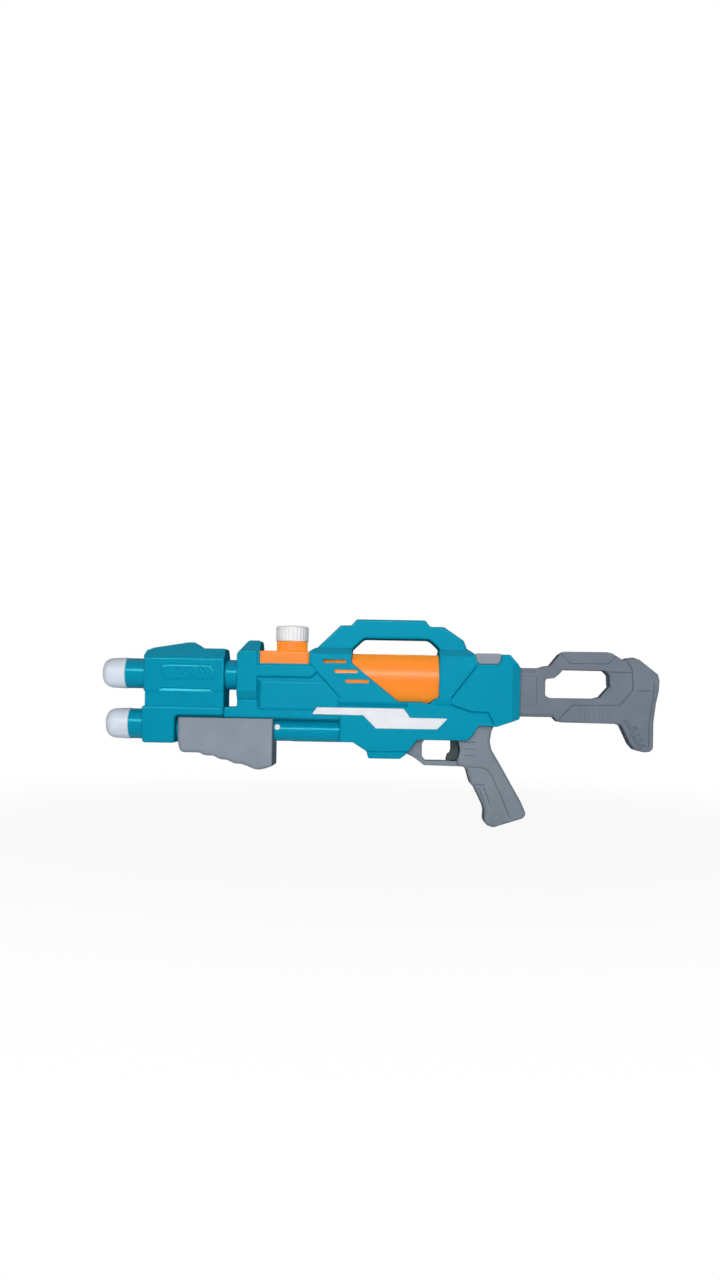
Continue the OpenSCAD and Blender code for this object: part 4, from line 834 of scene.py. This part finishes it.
def buildTank(shape):
    # The bottle is spun from a neck, a shoulder eased by a half cosine and two rounded ends.
    into, out = quarter(shape["end"], 8)
    ease = np.linspace(0.0, 1.0, 13)
    low, high = shape["shoulder"]
    step = shape["radius"] - shape["neck"]
    neck = np.stack([shape["neck"] - into, shape["front"] + shape["end"] - out], 1)[::-1]
    shoulder = np.stack([shape["neck"] + step * (1 - np.cos(np.pi * ease)) / 2,
                         low + (high - low) * ease], 1)
    tail = np.stack([shape["radius"] - into, shape["back"] - shape["end"] + out], 1)
    tank = turned(np.r_[neck, shoulder, tail], "x", (0, 0, shape["axis"]), 160)
    joinAll(tank, slab(shape["saddle"], shape["saddleHalf"], shape["saddleEdge"], shape["saddleRadius"]))
    cutAll(tank, block((150, -60, 150), (shape["saddleFront"], 60, 300)))
    x, top = shape["fillerAt"], shape["fillerTop"]
    bend = np.linspace(0.0, np.pi / 2, 9)
    filler, rim = shape["filler"], shape["fillerRim"]
    foot = np.stack([filler + shape["fillet"] * (1 - np.sin(bend)),
                     shape["fillerBase"] + shape["fillet"] * (1 - np.cos(bend))], 1)
    collar = np.r_[[(foot[0, 0], shape["fillerRoot"])], foot, [(filler, top - rim), (filler - rim, top)]]
    joinAll(tank, turned(collar, "z", (x, 0, 0), 96))
    # The spout's radius swells along a rising helix, so that one ridge winds round it.
    angle = np.linspace(0.0, 2 * np.pi, 96, endpoint=False)
    height = np.linspace(top - shape["spoutRoot"], shape["spoutTop"], 70)
    turn = (height[:, None] - top) / shape["threadPitch"] - angle[None] / (2 * np.pi)
    ridge = np.clip(1.0 - np.abs((turn % 1.0) - 0.5) / shape["threadShare"], 0.0, 1.0)
    bare, fade = shape["threadFade"]
    ridge *= np.clip((shape["spoutTop"] - bare - height) / fade, 0.0, 1.0)[:, None]
    radius = shape["spout"] + shape["threadDepth"] * ridge
    rings = np.stack([x + radius * np.cos(angle), radius * np.sin(angle),
                      np.broadcast_to(height[:, None], radius.shape)], -1)
    joinAll(tank, tubeSolid(rings))
    cutAll(tank, rod(shape["mouth"], 190, 260, "z", (x, 0, 0), steps=64))
    finishPiece(tank, "waterTank", "frame", "orangeTank", ["water_tank"])


capShape = {"at": (245.5, 0.0, 235.3), "radius": 21.0, "height": 19.8, "inside": 17.4, "roof": 2.0,
            "flutes": 28, "depth": 0.6, "keenness": 1.4, "edge": 3.0, "lip": 0.5, "rim": 0.8,
            "fluteShare": [(1.4, 0), (2.0, 0.7), (2.6, 1), (9, 1), (14.6, 1), (15.6, 0.6), (16.4, 0)]}


def buildCap(shape):
    # Every ring has its own radius and share of the flutes; a flute is a raised cosine in the angle.
    count = shape["flutes"] * 12
    angle = np.linspace(0.0, 2 * np.pi, count, endpoint=False)
    flute = shape["depth"] * (0.5 + 0.5 * np.cos(shape["flutes"] * angle)) ** shape["keenness"]
    into, out = quarter(shape["edge"], 6)
    radius, height, inside = shape["radius"], shape["height"], shape["inside"]
    roof, lip, rim = height - shape["roof"], shape["lip"], shape["rim"]
    side = [(0, roof, 0), (inside, roof, 0), (inside, lip, 0), (inside + lip, 0, 0), (radius - rim, 0, 0),
            (radius, rim, 0)] + [(radius, z, share) for z, share in shape["fluteShare"]]
    crown = np.stack([radius - into, height - shape["edge"] + out, 0 * into], 1)
    profile = np.r_[side, crown, [(0, height, 0)]]
    r = np.maximum(profile[:, :1] - profile[:, 2:] * flute[None], 0.0)
    rings = np.stack([r * np.cos(angle), r * np.sin(angle), np.broadcast_to(profile[:, 1:2], r.shape)], -1)
    finishPiece(tubeSolid(rings + np.array(shape["at"])), "tankCap", "cap", "whiteCap",
                ["tank_cap"], 50.0)


buildTank(tankShape)
buildCap(capShape)
print("stage: tank and cap")


# Pump

guideShape = {"axis": 120.0, "from": 94.0, "to": 326.0, "radius": 14.0, "wall": 2.0, "rim": 0.9,
              "slot": (141.5, 248.5, 4.0, 5.0)}
plugShape = {"at": (229.3, 124.6), "radius": 3.6, "low": 11.95, "high": 15.0, "dome": 0.9}
pumpShape = {
    "outline": [(103.5, 150), (103.8, 105.7), (106.8, 91), (132, 90.8), (137, 87.8),
                (143.5, 87.2), (149.4, 87.3), (154.8, 84.2), (159.5, 82.6), (166.4, 82.3), (171.8, 79.8),
                (177, 77.6), (184.5, 77.4), (193.3, 74.6), (201, 71.2), (208, 70.2), (216, 72),
                (232, 78), (245, 84), (245, 150)],
    "half": 30.0, "edge": 5.2, "radius": 7.0, "top": 135.6, "rear": 224.5, "bore": 14.35,
    "channel": (16.6, 4.2), "rearBevel": (0.9, 0.9, 30.0, 0.6), "topBevel": (0.8, 0.8, 30.0, 0.5),
    "posts": [(117.5, 99, 30), (201.5, 92, 30)],
}


def buildGuide(shape, plug):
    # A thin tube that is slotted below for the pump's lug, and the plug in its side.
    tube = thinTube(shape, shape["from"], shape["to"], shape["axis"], 128)
    start, end, half, below = shape["slot"]
    cutAll(tube, block((start, -half, 100), (end, half, shape["axis"] - below)))
    finishPiece(tube, "pumpGuideTube", "frame", "tealGloss", ["pump_guide_tube"])
    # The plug's face is a shallow dome: its rise falls off with the square of the radius.
    share = np.linspace(1.0, 0.0, 7)
    dome = np.stack([plug["radius"] * share, -plug["high"] - plug["dome"] * (1 - share ** 2)], 1)
    knob = turned(np.r_[[(plug["radius"], -plug["low"])], dome], "y", (plug["at"][0], 0, plug["at"][1]), 48)
    finishPiece(knob, "tubePlug", "frame", "whiteTrim", ["tube_plug"])


def buildPumpGrip(shape):
    # A rounded plate with a wavy belly, cut off flat above and behind so that those edges stay crisp.
    top, rear = shape["top"], shape["rear"]
    grip = plate(shape["outline"], shape["half"], shape["edge"], shape["radius"])
    cutAll(grip, block((80, -60, top), (260, 60, 200)), block((rear, -60, 40), (280, 60, 200)),
           slopeCutter((rear, 60), (rear, 140), *shape["rearBevel"]),
           slopeCutter((rear + 5, top), (90, top), *shape["topBevel"]))
    # A round bore open to the top, and a channel that passes over the tube's plug.
    bore, axis, plugHigh = shape["bore"], guideShape["axis"], plugShape["at"][1]
    deep, tall = shape["channel"]
    cuts = [rod(bore, 90, 240, "x", (0, 0, axis)), block((90, -bore, axis), (240, bore, 160)),
            block((90, -deep, plugHigh - tall), (240, deep, plugHigh + tall))]
    finishPair(splitShells(grip, cuts, shape["posts"]), "pumpGrip", "pump", "greySatin", "pump_grip")


buildGuide(guideShape, plugShape)
buildPumpGrip(pumpShape)
print("stage: pump")


# Pistol grip and trigger

gripShape = {
    "grip": [(461, 78), (472, 78), (478.4, 56.8), (484.2, 50.6), (495.2, 28.4), (497.2, 21.5), (496.6, 9.5),
             (500, 3.2), (509, 0.2), (547, 12.4), (551.2, 18), (544.6, 33), (516.8, 81.1),
             (505.3, 100.2), (503, 111), (504.7, 122.7), (516, 152), (478, 152), (478, 118),
             (472, 114), (461, 114)],
    "guard": [(395, 93.5), (407, 87.5), (419, 78.5), (474, 77.5), (474, 85.3), (420, 85), (416, 91),
              (416, 106.5), (419.5, 112), (419.5, 120), (412.4, 120)],
    "plates": [("grip", 17.0, 5.0, 8.0), ("guard", 8.0, 2.0, 2.4)],
    "guardPanel": [(398, 94), (407.5, 89.5), (411.5, 92), (411.5, 111), (408, 111)],
    "sunk": [("guardPanel", 7.3, 9.0, 0.6, 0.35)],
    "lines": [[(474, 77.8), (490, 77.5), (497, 76.2), (502, 73.0), (506, 67), (518, 41), (530, 14)],
              [(481, 55.2), (496.5, 55.4)], [(489.5, 51), (498.5, 29)], [(496, 51), (504.5, 29)],
              [(469, 109.6), (484, 109.7)], [(469.7, 101), (483.1, 101.2)], [(470.4, 92.5), (482.2, 92.8)]],
    "grooves": [("lines", 0.8, 17.1, 1.3, 4)],
    "boss": (512.8, 13.2),
    "bossProfile": [(10.2, -11), (10.2, -16.7), (9.6, -17.3), (6.6, -17.7), (6.0, -17.3), (5.8, -16.3),
                    (5.1, -16.3), (4.9, -17.2), (4.4, -17.6), (0, -17.8)],
    "notch": [(452, 84), (459.4, 84.5), (462.9, 91), (464.6, 98), (464.4, 103), (462.8, 108.5),
              (459.5, 113.5), (452, 113.5)],
    "notchCut": (-3.0, 22.0, 1.5, 0.0),
    "triggerSlot": ((438, -5.6, 80), (479, 5.6, 118)),
    "posts": [(512.8, 13.2, 17), (494, 80, 17), (496, 116, 17)],
}


def buildGrip(shape):
    # A handle plate and a thin guard, with a turned boss near the foot and room for the trigger.
    x, z = shape["boss"]
    shell = joinAll(halfShell(shape), turned(shape["bossProfile"], "y", (x, 0, z), 64))
    cuts = [block(*shape["triggerSlot"]), pocket(shape["notch"], *shape["notchCut"])]
    pair = splitShells(shell, cuts, shape["posts"])
    finishPair(pair, "gripShell", "frame", "gripSatin", "grip_shell")


triggerShape = {
    "outline": [(447.5, 84.5), (459, 84.2), (464, 91.4), (465, 99), (463, 106), (464.5, 123), (461, 143),
                (453, 143), (453, 128), (452.4, 120), (453.2, 100), (452, 95.7), (448.9, 93.6),
                (447.2, 87.8)],
    "half": 5.0, "edge": 1.6, "radius": 2.6,
}

buildGrip(gripShape)
finishPiece(slab(triggerShape["outline"], triggerShape["half"], triggerShape["edge"], triggerShape["radius"]),
            "triggerLever", "trigger", "blackTrigger", ["trigger"])
print("stage: pistol grip and trigger")


# Stock

buttEdge = [(664.7, 136.2), (672.4, 134.6), (677.8, 123.4), (684, 110.5), (690, 103.6), (701.3, 100.2),
            (709, 101), (712.9, 105.5), (712.9, 138.3), (715.7, 162.8), (719.2, 179.6), (719.9, 192.5),
            (717.6, 200.8), (694.1, 219), (686.3, 222)]
stockShape = {
    "loop": [(486, 143.4), (584.8, 143.4), (590.1, 137.6), (600, 136.8), *buttEdge, (679, 221.5),
             (673.8, 218.2), (658.8, 227.4), (652, 228.6), (597, 228.3), (591, 224.6), (579.3, 209.8),
             (572, 209.2), (564, 206.4), (486, 206.4)],
    "step": [(586.2, 137), *buttEdge, (675.8, 221.6), (684.6, 205), (685.8, 180.2), (669.4, 160.7),
             (608.6, 159.6)],
    "plates": [("loop", 12.2, 2.4, 4.0), ("step", 15.5, 2.4, 4.0)],
    # the bar's upper and lower edges and the window's facet; the front of the foot
    "slopes": {
        "loop": [((558, 206.4), (486, 206.4), 3.0, 5.8, 1.0), ((486, 143.4), (582, 143.4), 3.0, 4.4, 1.0),
                 ((655.4, 182.4), (646.4, 172), 3.2, 5.4, 0.6)],
        "step": [((671.8, 136), (690, 98), 8.0, 9.0, 6.0)],
    },
    "barPanel": [(536, 158.6), (562, 158.6), (562, 195.6), (536, 195.6)],
    "trapeze": [(604.6, 213.4), (654, 213.6), (662, 221.7), (668, 234), (588, 234), (596.3, 222.5)],
    "sunk": [("barPanel", 11.2, 13.0, 1.0, 0.35), ("trapeze", 10.4, 15.0, 1.0, 0.5)],
    "window": [(573.4, 171.4), (573.4, 193), (584.4, 193.7), (590.2, 198), (596, 204.7), (650, 204.5),
               (655.8, 199), (656.8, 184), (645, 170.4), (638, 168.4), (578.8, 168.2)],
    "openings": [("window", 12.2, 1.4, 4.0)],
    "loopLine": [[(654, 202.8), (686, 203)]],
    "buttLines": [[(706.5, 108), (707, 140), (711.5, 170), (713.0, 190)], [(693, 179.2), (706, 179.4)]],
    "teeth": [[(674, 126.5), (690, 131)], [(677.5, 119), (693, 123.5)], [(681, 111.5), (697, 116)],
              [(685.5, 105), (700, 109)]],
    "ribs": [[(x, 140.5), (x, 154.5)] for x in range(618, 664, 6)],
    "grooves": [("loopLine", 0.8, 12.3, 1.3, 4), ("buttLines", 0.8, 15.6, 1.3, 4),
                ("teeth", 2.0, 15.3, 1.0, 24), ("ribs", 0.9, 16.0, 1.0, 24)],
    "posts": [(598, 216, 14), (638, 148, 14), (696, 118, 14), (698, 202, 14)],
}


def buildStock(shape):
    # The bar and the loop are one plate; the butt and the lower bar stand proud of it.
    pair = splitShells(halfShell(shape), [], shape["posts"])
    finishPair(pair, "stockShell", "stock", "stockMatte", "stock_shell")


buildStock(stockShape)
print("stage: stock")


# Screws, drawn once and set in every well

screwShape = {"seat": screwSeat, "head": 3.0, "headHigh": 2.4, "shank": 1.4, "length": 20.0,
              "dome": [(1.0, 0.0), (1.0, 0.375), (0.86, 0.72), (0.5, 1.0), (0.0, 1.0)],
              "cross": 0.55, "crossReach": 1.86, "crossFloor": 1.0, "crossTop": 4.0}


def drawScrew(shape):
    # A domed head with a crossed slot, over a plain shank that points to the left side.
    seat, head, high = shape["seat"], shape["head"], shape["headHigh"]
    part = turned(np.array(shape["dome"]) * (head, high) + (0.0, seat), "y", (0, 0, 0), 20)
    half, reach = shape["cross"], shape["crossReach"]
    low, top = seat + shape["crossFloor"], seat + shape["crossTop"]
    cutAll(part, block((-reach, low, -half), (reach, top, half)),
           block((-half, low, -reach), (half, top, reach)))
    joinAll(part, rod(shape["shank"], seat - shape["length"], seat + 0.5, "y", (0, 0, 0), steps=12))
    points = meshPoints(part.data).copy()
    faces = [list(p.vertices) for p in part.data.polygons]
    bpy.data.objects.remove(part)
    return points, faces


def setScrews(name, body, node, posts):
    # The one drawn screw, repeated at every post as a single mesh.
    points, faces = screwDrawing
    spots = np.array([(x, 0.0, z) for x, z, _ in posts])
    verts = (spots[:, None] + points[None]).reshape(-1, 3)
    every = [[i + k * len(points) for i in face] for k in range(len(spots)) for face in faces]
    finishPiece(solidFrom(verts, every), name, body, "zincSteel", [node], 30.0)


screwDrawing = drawScrew(screwShape)
for name, body, node, housing in [("bodyScrews", "frame", "body_screws", bodyShape),
                                  ("noseScrews", "frame", "nose_screws", noseShape),
                                  ("gripScrews", "frame", "grip_screws", gripShape),
                                  ("stockScrews", "stock", "stock_screws", stockShape),
                                  ("pumpGripScrews", "pump", "pump_grip_screws", pumpShape)]:
    setScrews(name, body, node, housing["posts"])
print("stage: screws")


# Inner pieces keep their CAD shape and only take a finish

innerFinish = {
    "innerPlastic": ["upper_jet_tube", "lower_jet_tube", "jet_manifold", "pump_cylinder", "pump_head",
                     "pump_rod", "pump_piston", "valve_body", "valve_plunger"],
    "softRubber": ["barrel_hose", "air_hose", "tank_hose", "cap_seal", "piston_ring", "plunger_seal"],
    "zincSteel": ["check_ball", "check_spring", "trigger_pin", "trigger_spring", "valve_spring",
                  "button_springs"],
}
for finish, names in innerFinish.items():
    for name in names:
        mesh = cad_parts[name].data
        mesh.materials.clear()
        mesh.materials.append(finishMaterials[finish])
